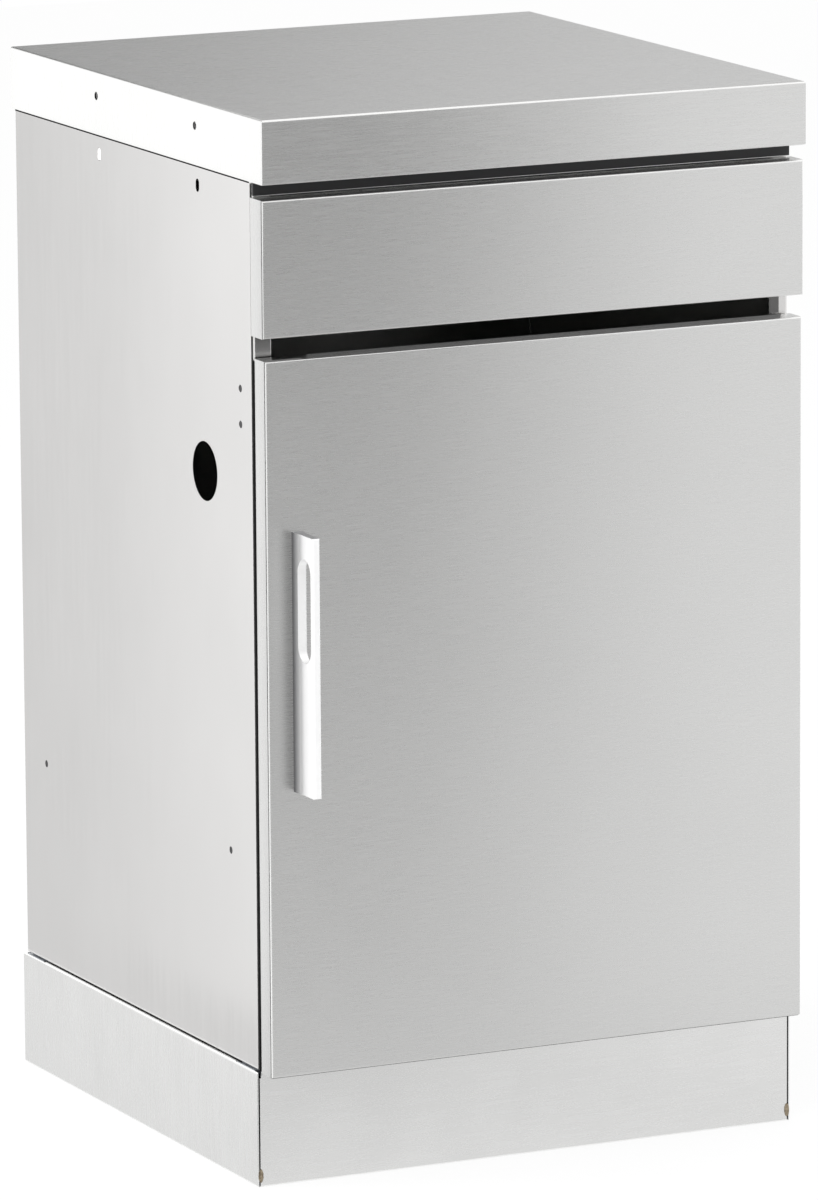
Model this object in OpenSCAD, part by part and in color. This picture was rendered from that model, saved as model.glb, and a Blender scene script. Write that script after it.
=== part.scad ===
// Free-standing outdoor kitchen cabinet: folded stainless steel, one drawer over one hinged door.
// X runs along the width, Y from front to back, Z up; the origin is on the floor, in the middle
// of the ground that the whole object covers.

/* [Cabinet] */
// Width over the worktop and the plinth
cab_w = 500; // [420:10:640]
// Depth of the worktop from its front face to its rear face
cab_d = 520; // [440:10:620]
// Height of the worktop's surface above the floor
cab_h = 900; // [840:5:960]
// Thickness of the folded sheet
sheet_t = 1; // [0.8:0.1:1.4]
// Outer radius of the folds
fold_r = 2; // [1.6:0.1:3]

/* [Worktop] */
// Thickness of the worktop's sheet
top_t = 1.2; // [0.8:0.1:2]
// Height of the worktop's folded skirt
skirt_h = 53.5; // [45:0.5:80]
// Gap between the skirt's inside and the side panel
skirt_gap = 0.8; // [0.3:0.1:3]
// Depth of the lip under the front skirt
skirt_lip = 14; // [6:1:20]
// Height of the stiffening ribs under the worktop
rib_h = 18; // [8:1:24]
// Width of a stiffening rib's bottom
rib_w = 30; // [15:1:60]
// Width of a stiffening rib's welded edges
rib_edge = 10; // [6:1:20]

/* [Fronts] */
// Step from the worktop's front face back to the door's face
face_step = 2.8; // [0:0.1:10]
// Gap between the worktop's skirt and the drawer front
top_gap = 13; // [4:0.5:20]
// Height of the drawer front
drawer_face_h = 114.5; // [105:0.5:150]
// Finger gap between the drawer front and the door
finger_gap = 18.5; // [5:0.5:30]
// Thickness of the door
door_t = 21; // [19:0.5:26]
// Gap between the closed door and the carcass
door_gap = 3.5; // [3:0.1:6]
// Gap between the closed drawer front and the carcass
drawer_gap = 1.5; // [1:0.1:3]
// Inset of the door's edges from the worktop's side faces
door_inset = 2; // [0.5:0.1:4]
// Inset of the drawer front's edges from the worktop's side faces
drawer_inset = 0.5; // [0:0.1:4]
// How far the door hangs below the carcass
door_lap = 2.4; // [0:0.1:6]
// Depth of the folded edges of the inner panels of door and drawer front
liner_edge = 12; // [6:0.5:15]

/* [Carcass] */
// Width of the folded column along the front edge of a side panel
column_w = 18; // [16:0.5:26]
// Depth of the lip on the inner edge of the column
column_d = 15; // [8:0.5:18]
// Height of the front rail
front_rail_h = 50; // [30:1:60]
// Depth of the rails' upper flange
rail_d = 34; // [20:1:50]
// Depth of the rails' lower flange
rail_lip = 18; // [10:1:30]
// Height of the rear rail
rear_rail_h = 50; // [30:1:80]
// Height of the base panel's folded edges
base_edge = 19; // [10:1:22]

/* [Side holes] */
// Diameter of the linking holes through skirt and side panel
link_d = 7; // [4:0.1:10]
// Distance of the linking holes below the worktop's surface
link_drop = 20.7; // [15:0.1:26]
// Distance of the first linking hole behind the worktop's front face
link_y = 133.5; // [90:0.5:160]
// Distance between the two linking holes
link_pitch = 202.5; // [100:0.5:250]
// Length of the upright linking slots in the side panel
slot_l = 11; // [9:0.1:14]
// Distance of the slots' centres below the skirt
slot_drop = 17; // [12:0.5:20]
// Diameter of the hose and cable hole
cable_d = 50; // [20:1:70]
// Height of the cable hole's centre above the floor
cable_z = 591; // [400:1:620]
// Distance of the cable hole's centre behind the worktop's front face
cable_y = 124.4; // [100:0.1:300]

/* [Back panel] */
// Length of a ventilation slot
vent_l = 40; // [20:1:60]
// Height of a ventilation slot
vent_h = 6; // [3:0.5:10]
// Distance between neighbouring slots in a row
vent_pitch = 56; // [50:1:70]
// Slots in each row
vent_n = 6; // [1:1:6]
// Distance of a vent row's centre from the end of the panel
vent_inset = 110; // [90:1:150]

/* [Shelf] */
// Height of the shelf's fixing holes above the floor
shelf_z = 277.3; // [200:0.1:450]
// Distance from the fixing holes up to the shelf's surface
shelf_rise = 12.7; // [8:0.1:18]
// Height of the shelf's folded edge
shelf_edge = 25; // [18:1:40]
// Gap between the column's lip and the shelf's front edge
shelf_gap = 3; // [1:0.5:40]
// Gap between the shelf and the back panel
shelf_back_gap = 14; // [2:1:60]
// Distance of the front fixing hole behind the worktop's front face
shelf_y = 80.1; // [65:0.1:95]
// Distance from the rear fixing hole to the rear of the carcass
shelf_rear = 50.3; // [30:0.1:150]
// Diameter of the shelf's and the catch's fixing holes
rivet_d = 6.2; // [4:0.1:7]

/* [Plinth] */
// Height of the plinth
plinth_h = 99; // [80:1:130]
// Depth of the plinth boards' folded lips
plinth_lip = 14; // [8:1:30]
// Open seam between neighbouring plinth boards
plinth_seam = 1.2; // [0.4:0.1:2]
// Leg width of the corner brackets
bracket_w = 42; // [40:1:55]
// Thickness of the corner brackets
seat_t = 1.5; // [1:0.1:3]
// Height of the bracket's plate that holds the levelling foot
foot_plate_z = 32; // [26:1:50]

/* [Levelling feet] */
// Diameter of the foot's threaded stem
stem_d = 10; // [6:1:12]
// Length of the stem above the pad
stem_l = 64; // [60:1:70]
// Diameter of the foot's pad
pad_d = 34; // [20:1:36]
// Thickness of the pad
pad_h = 8; // [4:1:12]
// Thickness of the welded nut
nut_h = 8; // [5:1:12]

/* [Door hinges] */
// Diameter of the hinge pins
pin_d = 6; // [4:0.5:8]
// Distance from the door's edge to the hinge axis
pivot_in = 8; // [7.5:0.1:8.5]
// Distance from the door's face back to the hinge axis
pivot_back = 10; // [9.5:0.1:10.5]
// Distance from the door's ends to the hinge arms
hinge_inset = 50; // [35:1:90]
// Width of the hinge arm
arm_w = 10; // [8:0.5:11]
// Thickness of the hinge arm and its plate
arm_t = 3; // [2:0.5:4]
// Half height of the hinge's fixing plate
arm_tab = 22; // [18:1:30]
// Distance of the plate's screws from the arm
arm_screw = 13; // [10:1:16]
// Outer diameter of the hinge bush
bush_d = 9; // [9:0.5:10]
// Gap above and below the hinge arm inside the door
arm_gap = 0.5; // [0.4:0.1:1]
// Thickness of the cage that holds the pin in the door
cage_t = 2; // [1.5:0.5:3]
// Distance from the hinge axis to the cage's closed side
cage_in = 13; // [10:0.5:20]

/* [Handle] */
// Thickness of the handle's blade
handle_t = 7; // [6.5:0.1:10]
// Distance that the handle stands out from the door
handle_reach = 37.2; // [32:0.1:50]
// Height of the handle
handle_h = 218; // [215:1:300]
// Distance from the door's free edge to the handle
handle_in = 24; // [22:0.5:60]
// Height of the handle's lower end above the door's lower edge
handle_up = 241.5; // [60:0.5:300]
// Width of the finger slot
grip_w = 24; // [15:0.5:25]
// Height of the finger slot
grip_h = 87; // [60:1:100]
// Width of the bar in front of the finger slot
grip_bar = 4.2; // [3:0.1:6]
// Distance from the handle's upper end to the finger slot
grip_top = 19.6; // [15:0.1:30]
// Radius of the hollow between the blade and its foot
foot_r = 12; // [9:0.5:14]
// How far the foot spreads on each side of the blade
foot_out = 3; // [1:0.5:5]
// Radius of the handle's edges
edge_r = 1.6; // [0.5:0.1:3]
// Distance between the handle's screws
handle_pitch = 192; // [160:1:196]
// Diameter of the handle's screws
handle_screw_d = 4.8; // [3:0.1:5.5]

/* [Catch] */
// Distance of the catch's middle below the door's upper edge
catch_drop = 44; // [40:1:60]
// Distance between the catch's two fixing studs
catch_pitch = 30; // [20:1:34]
// Distance of the studs behind the carcass front
catch_y = 24.4; // [24:0.1:30]
// Height of the catch's base
catch_h = 45; // [42:1:60]
// Width of the catch's nose
catch_w = 18; // [14:1:22]
// Thickness of the strike plate on the door
strike_t = 1.5; // [1:0.1:2]

/* [Drawer] */
// Height of the drawer box
box_h = 85; // [70:1:90]
// Distance from the top of the drawer front down to the top of the drawer box
box_drop = 17; // [12:0.5:24]
// Width of the folded rim on the box's sides
box_rim = 8; // [4:0.5:12]
// Height of the runners
runner_h = 45; // [38:1:50]
// Thickness of a pair of runners with their middle member
runner_t = 12.7; // [12:0.1:14]
// Thickness of the runners' steel
rail_t = 1.2; // [1:0.1:1.4]
// Width of the turned-in edges that hold the middle member
rail_hook = 3; // [2.4:0.1:4]
// Running gap between the members of a runner
play = 0.4; // [0.2:0.1:0.6]
// Distance of the runners behind the carcass front
runner_set = 3.7; // [1:0.1:10]
// Free space between the runners and the back panel
runner_rear = 35; // [5:1:60]
// Height of the runners' middle above the bottom of the box
runner_up = 34; // [30:1:44]
// Thickness of the brackets that carry the runners
spacer_t = 1.5; // [1:0.1:2]

/* [Screws] */
// Diameter of the small screws
screw_d = 4; // [3:0.1:4.4]
// Diameter of the small screws' heads
head_d = 7; // [6:0.1:7.4]
// Height of the small screws' heads
head_h = 1.4; // [1:0.1:1.6]
// Diameter of the bolts at the plinth and the worktop
bolt_d = 6; // [5:0.5:7]

/* [Hidden] */
$fn = 48;

// Assembly clearance between pieces that nest in one another
fit = 0.2;
// Clearance of a square corner inside a folded one
nest = 0.5;
// Radial running clearance of a pin in its bush, a screw in its hole and a stem in its nut
run = 0.05;
// Length by which a cut passes the face that it opens
over = 1;
// Clearance of a soft stop or a low head from the face opposite
stop_gap = 0.3;

// Half widths
top_x = cab_w / 2;
wall_x = top_x - top_t - skirt_gap;
in_x = wall_x - sheet_t;
col_x = wall_x - column_w;
mid_col_x = wall_x - column_w / 2;
door_x = top_x - door_inset;
drawer_x = top_x - drawer_inset;
box_x = col_x - runner_t;
plate_x = wall_x - fold_r - fit;

// Places along the depth, from front to back
handle_over = handle_reach - face_step;
y_top = (handle_over - cab_d) / 2;
y_end = y_top + cab_d;
y_door = y_top + face_step;
y_door_in = y_door + door_t;
y_carc = y_door_in + door_gap;
drawer_t = door_t + door_gap - drawer_gap;
y_drawer_in = y_door + drawer_t;
y_rear = y_end - top_t - skirt_gap;
y_back = y_rear - 2 * sheet_t;
y_lip = y_carc + column_d;
y_run = y_carc + runner_set;
runner_l = y_back - runner_rear - y_run;

// Heights above the floor
z_under = cab_h - top_t;
z_skirt = cab_h - skirt_h;
z_drawer_top = z_skirt - top_gap;
z_drawer = z_drawer_top - drawer_face_h;
z_door_top = z_drawer - finger_gap;
z_carc = plinth_h + seat_t;
z_door = z_carc - door_lap;
door_h = z_door_top - z_door;
z_base = z_carc + sheet_t;
z_floor = z_base + sheet_t;
z_flange = z_under - sheet_t;
z_rail = z_flange - front_rail_h;
z_box_top = z_drawer_top - box_drop;
z_box = z_box_top - box_h;
z_runner = z_box + runner_up;
z_link = cab_h - link_drop;
z_slot = z_skirt - slot_drop;
z_catch = z_door_top - catch_drop;
z_shelf_top = shelf_z + shelf_rise;
z_handle = z_door + handle_up;
z_hinges = [z_door + hinge_inset, z_door_top - hinge_inset];

// Hinge axis and the pieces round it
hinge_x = door_x - pivot_in;
hinge_y = y_door + pivot_back;
eye_wall = 2.5;
eye_r = bush_d / 2 + eye_wall;
arm_half = arm_t / 2 + arm_gap;
notch_in = 3;
pin_head_share = 1.5;

// Runner section, measured from the runner bracket's face towards the drawer box
member_step = 1.5;
web_gap = 1.8;
outer_u = runner_t - rail_t - member_step;
mid_u = rail_t + web_gap;
mid_end_u = outer_u - rail_t - play;
inner_u = mid_u + rail_t + play;
mid_z = runner_h / 2 - rail_t - play;
hook_z = runner_h / 2 - rail_t - rail_hook;
inner_z = hook_z - play;
runner_hole_in = 60;
runner_bracket_rim = 2;

// Levelling feet and corner bolts, measured from the inner corner of the plinth
foot_in = bracket_w / 2 + 1;
bolt_in = (top_x - sheet_t) - mid_col_x;
lip_cut = bracket_w + 3;
corner_cut = 6;
seat_in = 5;
hub = 3;
bevel = 1;

// Hexagons across their corners, and heights of nuts and heads, as shares of the bolt
hex = 1.9;
nut_share = 0.8;
head_share = 0.6;

// Where the small screws lie
stud_in = 60;
stud_l = 11;
bolt_end = 2;
panel_screw_in = 40;
panel_screws = 5;
screw_end = 4;
low_head_h = 1.1;
box_screw_in = 30;
front_screw_in = 40;
front_screw_up = 22;
rib_share = 0.35;

// Rubber stops, and the folded edges of the drawer box's ends
bumper_d = 10;
bumper_low = 40;
bumper_high = 90;
box_end_edge = 9;
rivet_head = 1.6;
rivet_head_share = 1.6;

// Handle
handle_x = door_x - handle_in - handle_t / 2;
handle_mid = z_handle + handle_h / 2;
screw_depth = 11;
sleeve_share = 2;
handle_head_h = 2.2;

// Catch nose on the inner side of the left column
catch_gap = 1;
magnet_wall = 2;
nose_x = col_x - catch_gap - catch_w / 2;
nose_h = catch_h / 2;
catch_base_t = 3;
catch_half = catch_y - column_d - catch_gap;
nose_y = y_door_in + strike_t + stop_gap;
magnet_d = 4;
magnet_w = catch_w - 2 * magnet_wall;
magnet_h = nose_h - 2 * magnet_wall;

STEEL = "#c9cbcc";
BRIGHT = "#e6e7e8";
ZINC = "#b4b7ba";
PLASTIC = "#2a2b2d";

// A rectangle with its lower left corner at the origin and four round corners
module rounded(w, h, r) {
  translate([r, 0]) square([w - 2 * r, h]);
  translate([0, r]) square([w, h - 2 * r]);
  for (x = [r, w - r], y = [r, h - r]) translate([x, y]) circle(r);
}

// A slot with round ends, its length along the second axis
module stadium(w, l) {
  translate([-w / 2, -(l - w) / 2]) square([w, l - w]);
  for (s = [-1, 1]) translate([0, s * (l - w) / 2]) circle(w / 2);
}

// Extrudes an outline drawn in Y and Z along X
module along_x(x, l) {
  translate([x, 0, 0]) rotate([90, 0, 90]) linear_extrude(l) children();
}

// Extrudes an outline drawn in X and Z along Y
module along_y(y, l) {
  translate([0, y + l, 0]) rotate([90, 0, 0]) linear_extrude(l) children();
}

// A cylinder along X, its start at the given point
module bar_x(p, d, l) {
  translate(p) rotate([0, 90, 0]) cylinder(d = d, h = l);
}

// A cylinder that runs along Y from the given point towards the back
module bar_y(p, d, l) {
  translate(p) rotate([-90, 0, 0]) cylinder(d = d, h = l);
}

// Draws a piece and its mirror image at the other side
module both_sides() {
  children();
  mirror([1, 0, 0]) children();
}

// Outline of a folded tray: flat face at y = 0, round at its two corners
module face_outline(w, d, r) {
  translate([-w / 2, r]) square([w, d - r]);
  translate([-w / 2 + r, 0]) square([w - 2 * r, d]);
  for (s = [-1, 1]) translate([s * (w / 2 - r), r]) circle(r);
}

// The block that a folded tray is made from, every front edge round
module tray_block(w, h, d, r) {
  intersection() {
    linear_extrude(h) face_outline(w, d, r);
    along_x(-w / 2, w) translate([0, h / 2]) rotate(-90) face_outline(h, d, r);
  }
}

// A sheet folded into a tray: face at y = 0, edges running back to y = d, z from 0 to h
module tray(w, h, d, t, r) {
  difference() {
    tray_block(w, h, d, r);
    translate([0, t, t]) tray_block(w - 2 * t, h - 2 * t, d + over, r - t);
  }
}

// The worktop: one folded sheet with a lip under its front skirt and four welded studs
module worktop() {
  color(STEEL) difference() {
    union() {
      translate([0, y_top, cab_h]) rotate([-90, 0, 0])
        tray(cab_w, cab_d, skirt_h, top_t, fold_r);
      translate([-(top_x - top_t - fit), y_top + top_t / 2, z_skirt])
        cube([2 * (top_x - top_t - fit), skirt_lip + top_t / 2, top_t]);
      both_sides() for (y = stud_ys())
        translate([mid_col_x, y, z_under - stud_l]) cylinder(d = bolt_d, h = stud_l + top_t / 2);
    }
    for (y = link_ys()) bar_x([-top_x - over, y, z_link], link_d, cab_w + 2 * over);
  }
}

function link_ys() = [y_top + link_y, y_top + link_y + link_pitch];
function stud_ys() = [y_carc + stud_in, y_rear - stud_in];

// A hat-shaped rib that runs from side to side under the worktop
module worktop_rib(y) {
  t = sheet_t;
  color(STEEL) along_x(-(col_x - over), 2 * (col_x - over)) translate([y, z_under]) {
    translate([-rib_w / 2, -rib_h]) square([rib_w, t]);
    for (s = [0, 1]) mirror([s, 0]) {
      translate([rib_w / 2 - t, -rib_h]) square([t, rib_h]);
      translate([rib_w / 2 - t, -t]) square([rib_edge + t, t]);
    }
  }
}

module worktop_rib_front() { worktop_rib(y_top + cab_d * rib_share); }
module worktop_rib_rear() { worktop_rib(y_end - cab_d * rib_share); }

// A hexagon nut with its bore
module nut(d, h) {
  difference() {
    cylinder(d = d * hex, h = h, $fn = 6);
    translate([0, 0, -over]) cylinder(d = d + 2 * run, h = h + 2 * over);
  }
}

// Nuts that pull the worktop down on the side panels
module worktop_nuts() {
  h = bolt_d * nut_share;
  color(ZINC) both_sides() for (y = stud_ys())
    translate([mid_col_x, y, z_flange - h]) nut(bolt_d, h);
}

// The right-hand side panel, folded all round, with the holes that both panels have
module side_shell() {
  depth = y_rear - y_carc;
  relief = sheet_t + 0.2;
  color(STEEL) difference() {
    union() {
      translate([0, 0, z_carc]) linear_extrude(z_under - z_carc) difference() {
        translate([col_x, y_carc]) rounded(column_w, depth, fold_r);
        translate([col_x + sheet_t, y_carc + sheet_t])
          rounded(column_w - 2 * sheet_t, depth - 2 * sheet_t, fold_r - sheet_t);
        translate([col_x - over, y_lip])
          square([fold_r + over, y_rear - sheet_t - y_lip]);
      }
      for (z = [z_carc, z_flange]) translate([col_x, y_carc, z])
        linear_extrude(sheet_t) rounded(column_w, depth, fold_r);
    }
    translate([col_x - over, y_carc - over, z_base])
      cube([fold_r + over, column_d + 2 * over, sheet_t + relief]);
    translate([col_x - over, y_carc - over, z_rail - relief])
      cube([fold_r + over, column_d + 2 * over, z_flange - z_rail + relief]);
    for (y = link_ys()) {
      bar_x([in_x - over, y, z_link], link_d, sheet_t + 2 * over);
      along_x(in_x - over, sheet_t + 2 * over) translate([y, z_slot]) stadium(link_d, slot_l);
    }
    for (y = stud_ys()) translate([mid_col_x, y, z_flange - over])
      cylinder(d = bolt_d + 2 * fit, h = sheet_t + 2 * over);
    for (y = bolt_ys()) translate([mid_col_x, y, z_carc - over])
      cylinder(d = bolt_d + 2 * fit, h = sheet_t + 2 * over);
    for (y = shelf_ys()) bar_x([in_x - over, y, shelf_z], rivet_d, sheet_t + 2 * over);
    for (z = panel_screw_zs()) bar_y([mid_col_x, y_rear - sheet_t - over, z],
      screw_d + 2 * run, sheet_t + 2 * over);
    bar_x([in_x - over, y_top + cable_y, cable_z], cable_d, sheet_t + 2 * over);
  }
}

function bolt_ys() = [y_carc + sheet_t + bolt_in, y_end - sheet_t - bolt_in];
function shelf_ys() = [y_top + shelf_y, y_rear - shelf_rear];
function panel_screw_zs() =
  let (z0 = z_floor + panel_screw_in, z1 = z_flange - rear_rail_h - panel_screw_in / 2)
  [for (i = [0 : panel_screws - 1]) z0 + i * (z1 - z0) / (panel_screws - 1)];

// Left panel, with the two holes of the door catch
module side_panel_left() {
  color(STEEL) difference() {
    mirror([1, 0, 0]) side_shell();
    for (s = [-1, 1])
      bar_x([-wall_x - over, y_carc + catch_y, z_catch + s * catch_pitch / 2],
        rivet_d, sheet_t + 2 * over);
  }
}

// Right panel, with the openings and screw holes of the hinges in its column
module side_panel_right() {
  color(STEEL) difference() {
    side_shell();
    for (z = z_hinges) {
      translate([hinge_x - arm_w / 2 - fit, y_carc - over, z - arm_t / 2 - fit])
        cube([arm_w + 2 * fit, sheet_t + 2 * over, arm_t + 2 * fit]);
      for (s = [-1, 1])
        bar_y([hinge_x, y_carc - over, z + s * arm_screw], screw_d + 2 * run, sheet_t + 2 * over);
    }
  }
}

// A row of ventilation slots
module vent_row(z) {
  for (i = [0 : vent_n - 1])
    translate([(i - (vent_n - 1) / 2) * vent_pitch, z]) rotate(90) stadium(vent_h, vent_l);
}

module back_panel() {
  w = plate_x;
  z1 = z_flange - fit;
  color(STEEL) difference() {
    translate([-w, y_back, z_base]) cube([2 * w, sheet_t, z1 - z_base]);
    along_y(y_back - over, sheet_t + 2 * over)
      for (z = [z_base + vent_inset, z1 - vent_inset]) vent_row(z);
    both_sides() for (z = panel_screw_zs())
      bar_y([mid_col_x, y_back - over, z], screw_d + 2 * run, sheet_t + 2 * over);
  }
}

// Pan-head screws that hold the back panel to the side panels' rear flanges
module back_panel_screws() {
  color(ZINC) both_sides() for (z = panel_screw_zs()) {
    bar_y([mid_col_x, y_rear, z], head_d, head_h);
    bar_y([mid_col_x, y_back - screw_end, z], screw_d, y_rear - y_back + screw_end + head_h / 2);
  }
}

// The cabinet's floor, with its folded edges standing up at the sides and the back
module base_panel() {
  w = plate_x;
  y0 = y_carc + sheet_t;
  color(STEEL) difference() {
    union() {
      translate([-w, y0, z_base]) cube([2 * w, y_back - y0, sheet_t]);
      translate([-(col_x - fit), y_carc, z_base]) cube([2 * (col_x - fit), sheet_t + over, sheet_t]);
      translate([-w, y_back - sheet_t, z_base]) cube([2 * w, sheet_t, base_edge]);
      both_sides() translate([w - sheet_t, y0, z_base]) cube([sheet_t, y_back - y0, base_edge]);
    }
    both_sides() for (y = bolt_ys()) translate([mid_col_x, y, z_base - over])
      cylinder(d = bolt_d + 2 * fit, h = sheet_t + 2 * over);
  }
}

// A channel across the cabinet, its web at y = 0 and its two flanges running to the back
module rail(h) {
  w = plate_x;
  along_x(-w, 2 * w) {
    square([sheet_t, h]);
    translate([0, h - sheet_t]) square([rail_d, sheet_t]);
    square([rail_lip, sheet_t]);
  }
}

module front_rail() {
  color(STEEL) translate([0, y_carc + sheet_t, z_rail]) rail(z_flange - z_rail);
}

module rear_rail() {
  color(STEEL) translate([0, y_back, z_flange - rear_rail_h]) mirror([0, 1, 0]) rail(rear_rail_h);
}

// A tray with its edges folded down, fixed through its side edges
module shelf() {
  w = 2 * (in_x - fit);
  y0 = y_lip + shelf_gap;
  color(STEEL) difference() {
    translate([0, y0, z_shelf_top]) rotate([-90, 0, 0])
      tray(w, y_back - shelf_back_gap - y0, shelf_edge, sheet_t, fold_r);
    both_sides() for (y = shelf_ys())
      bar_x([in_x - fit - sheet_t - over, y, shelf_z], rivet_d, sheet_t + 2 * over);
  }
}

// Push-in studs through the side panels into the shelf's edges, their heads inside
module shelf_rivets() {
  inner = in_x - fit - sheet_t;
  color(PLASTIC) both_sides() for (y = shelf_ys()) {
    bar_x([inner - rivet_head, y, shelf_z], rivet_d * rivet_head_share, rivet_head);
    bar_x([inner - rivet_head / 2, y, shelf_z], rivet_d - 2 * run,
      wall_x - inner + rivet_head / 2 - stop_gap);
  }
}

// A plinth board along X, its face at y = 0, with lips folded in at its top and bottom
module plinth_board(l) {
  h = plinth_h;
  difference() {
    along_x(-l / 2, l) difference() {
      rounded(plinth_lip + 2 * fold_r, h, fold_r);
      translate([sheet_t, sheet_t])
        rounded(plinth_lip + 3 * fold_r, h - 2 * sheet_t, fold_r - sheet_t);
      translate([plinth_lip, -over]) square([3 * fold_r, h + 2 * over]);
    }
    for (s = [-1, 1]) translate([s * l / 2 - lip_cut, sheet_t, -over])
      cube([2 * lip_cut, plinth_lip + over, h + 2 * over]);
  }
}

// The boards along X stand between the two side boards, an open seam at each end
module plinth_across() { plinth_board(cab_w - 2 * (sheet_t + plinth_seam)); }

module plinth_front() {
  color(BRIGHT) translate([0, y_carc, 0]) plinth_across();
}

module plinth_back() {
  color(BRIGHT) translate([0, y_end, 0]) mirror([0, 1, 0]) plinth_across();
}

module plinth_side() {
  color(BRIGHT) translate([top_x, (y_carc + y_end) / 2, 0]) rotate(90)
    plinth_board(y_end - y_carc);
}

module plinth_left() { mirror([1, 0, 0]) plinth_side(); }
module plinth_right() { plinth_side(); }

// Places a piece drawn in the front right inner corner of the plinth in any of the corners
module at_corner(right, rear) {
  y = rear ? y_end - sheet_t : y_carc + sheet_t;
  translate([0, y, 0]) mirror([0, rear ? 1 : 0, 0]) mirror([right ? 0 : 1, 0, 0])
    translate([top_x - sheet_t, 0, 0]) children();
}

// An angle in the plinth's corner with a plate for the foot and a raised seat for the
// carcass; its corner is cut away behind the open seam
module corner_bracket(right, rear) {
  w = bracket_w;
  color(ZINC) at_corner(right, rear) difference() {
    union() {
      translate([-w, 0, over]) cube([w, seat_t, plinth_h - over]);
      translate([-seat_t, 0, over]) cube([seat_t, w, plinth_h - over]);
      for (z = [foot_plate_z, plinth_h - seat_t]) translate([-w, 0, z]) cube([w, w, seat_t]);
      translate([-w, seat_in, plinth_h - seat_t]) cube([w - seat_in, w - seat_in, 2 * seat_t]);
    }
    translate([-corner_cut, -over, 0]) cube([corner_cut + over, corner_cut + over, z_carc]);
    translate([-foot_in, foot_in, foot_plate_z - over])
      cylinder(d = stem_d + 4 * stop_gap, h = seat_t + 2 * over);
    translate([-bolt_in, bolt_in, plinth_h - seat_t - over])
      cylinder(d = bolt_d + 2 * fit, h = 2 * (seat_t + over));
  }
}

module corner_bracket_front_left() { corner_bracket(false, false); }
module corner_bracket_front_right() { corner_bracket(true, false); }
module corner_bracket_rear_left() { corner_bracket(false, true); }
module corner_bracket_rear_right() { corner_bracket(true, true); }

// Hexagon nuts welded under the foot plates
module foot_nuts() {
  color(ZINC) for (right = [false, true], rear = [false, true])
    at_corner(right, rear) translate([-foot_in, foot_in, foot_plate_z - nut_h])
      nut(stem_d, nut_h);
}

// Bolts through the floor, the side panels and the corner brackets, each with its nut
module base_bolts() {
  h = bolt_d * nut_share;
  color(ZINC) for (right = [false, true], rear = [false, true])
    at_corner(right, rear) translate([-bolt_in, bolt_in, 0]) {
      translate([0, 0, z_floor]) cylinder(d = bolt_d * hex, h = bolt_d * head_share);
      translate([0, 0, plinth_h - seat_t - h - bolt_end])
        cylinder(d = bolt_d, h = z_floor - plinth_h + seat_t + h + 2 * bolt_end);
      translate([0, 0, plinth_h - seat_t - h]) cylinder(d = bolt_d * hex, h = h, $fn = 6);
    }
}

// A levelling foot: a round pad with a threaded stem that screws through the welded nut
module foot(right, rear) {
  color(PLASTIC) at_corner(right, rear) translate([-foot_in, foot_in, 0]) rotate_extrude()
    polygon([
      [0, 0], [pad_d / 2 - bevel, 0], [pad_d / 2, bevel], [pad_d / 2, pad_h / 2],
      [stem_d / 2 + hub, pad_h], [stem_d / 2, pad_h], [stem_d / 2, pad_h + stem_l - bevel],
      [stem_d / 2 - bevel, pad_h + stem_l], [0, pad_h + stem_l]
    ]);
}

module foot_front_left() { foot(false, false); }
module foot_front_right() { foot(true, false); }
module foot_rear_left() { foot(false, true); }
module foot_rear_right() { foot(true, true); }

// Magnetic catch: a base on the left wall, an arm past the column and a nose for the magnet
module catch_body() {
  y0 = y_carc + catch_y - catch_half;
  color(PLASTIC) difference() {
    union() {
      translate([-in_x, y0, z_catch - catch_h / 2]) cube([catch_base_t, 2 * catch_half, catch_h]);
      translate([-in_x, y0, z_catch - nose_h / 2])
        cube([in_x - nose_x + catch_w / 2, 2 * catch_half, nose_h]);
      translate([-nose_x - catch_w / 2, nose_y, z_catch - nose_h / 2])
        cube([catch_w, y0 + catch_half - nose_y, nose_h]);
      for (s = [-1, 1])
        bar_x([-wall_x + fit, y_carc + catch_y, z_catch + s * catch_pitch / 2],
          rivet_d - 2 * run, sheet_t + over);
    }
    translate([-nose_x - magnet_w / 2, nose_y - over, z_catch - magnet_h / 2])
      cube([magnet_w, magnet_d + over, magnet_h]);
  }
}

module catch_magnet() {
  color("#4a4c50") translate([-nose_x - magnet_w / 2, nose_y, z_catch - magnet_h / 2])
    cube([magnet_w, magnet_d, magnet_h]);
}

// A hinge arm that reaches from the column into the door, with its fixing plate
module hinge_bracket(z) {
  y_tab = y_carc + sheet_t;
  x0 = col_x + fold_r + fit;
  color(ZINC) difference() {
    union() {
      translate([hinge_x, hinge_y, z - arm_t / 2]) cylinder(r = eye_r, h = arm_t);
      translate([hinge_x - arm_w / 2, hinge_y, z - arm_t / 2])
        cube([arm_w, y_tab + arm_t - hinge_y, arm_t]);
      translate([x0, y_tab, z - arm_tab]) cube([plate_x - x0, arm_t, 2 * arm_tab]);
    }
    translate([hinge_x, hinge_y, z - arm_t]) cylinder(d = bush_d + 2 * run, h = 2 * arm_t);
    for (s = [-1, 1])
      bar_y([hinge_x, y_tab - over, z + s * arm_screw], screw_d + 2 * run, arm_t + 2 * over);
  }
}

module hinge_bracket_lower() { hinge_bracket(z_hinges[0]); }
module hinge_bracket_upper() { hinge_bracket(z_hinges[1]); }

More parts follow.
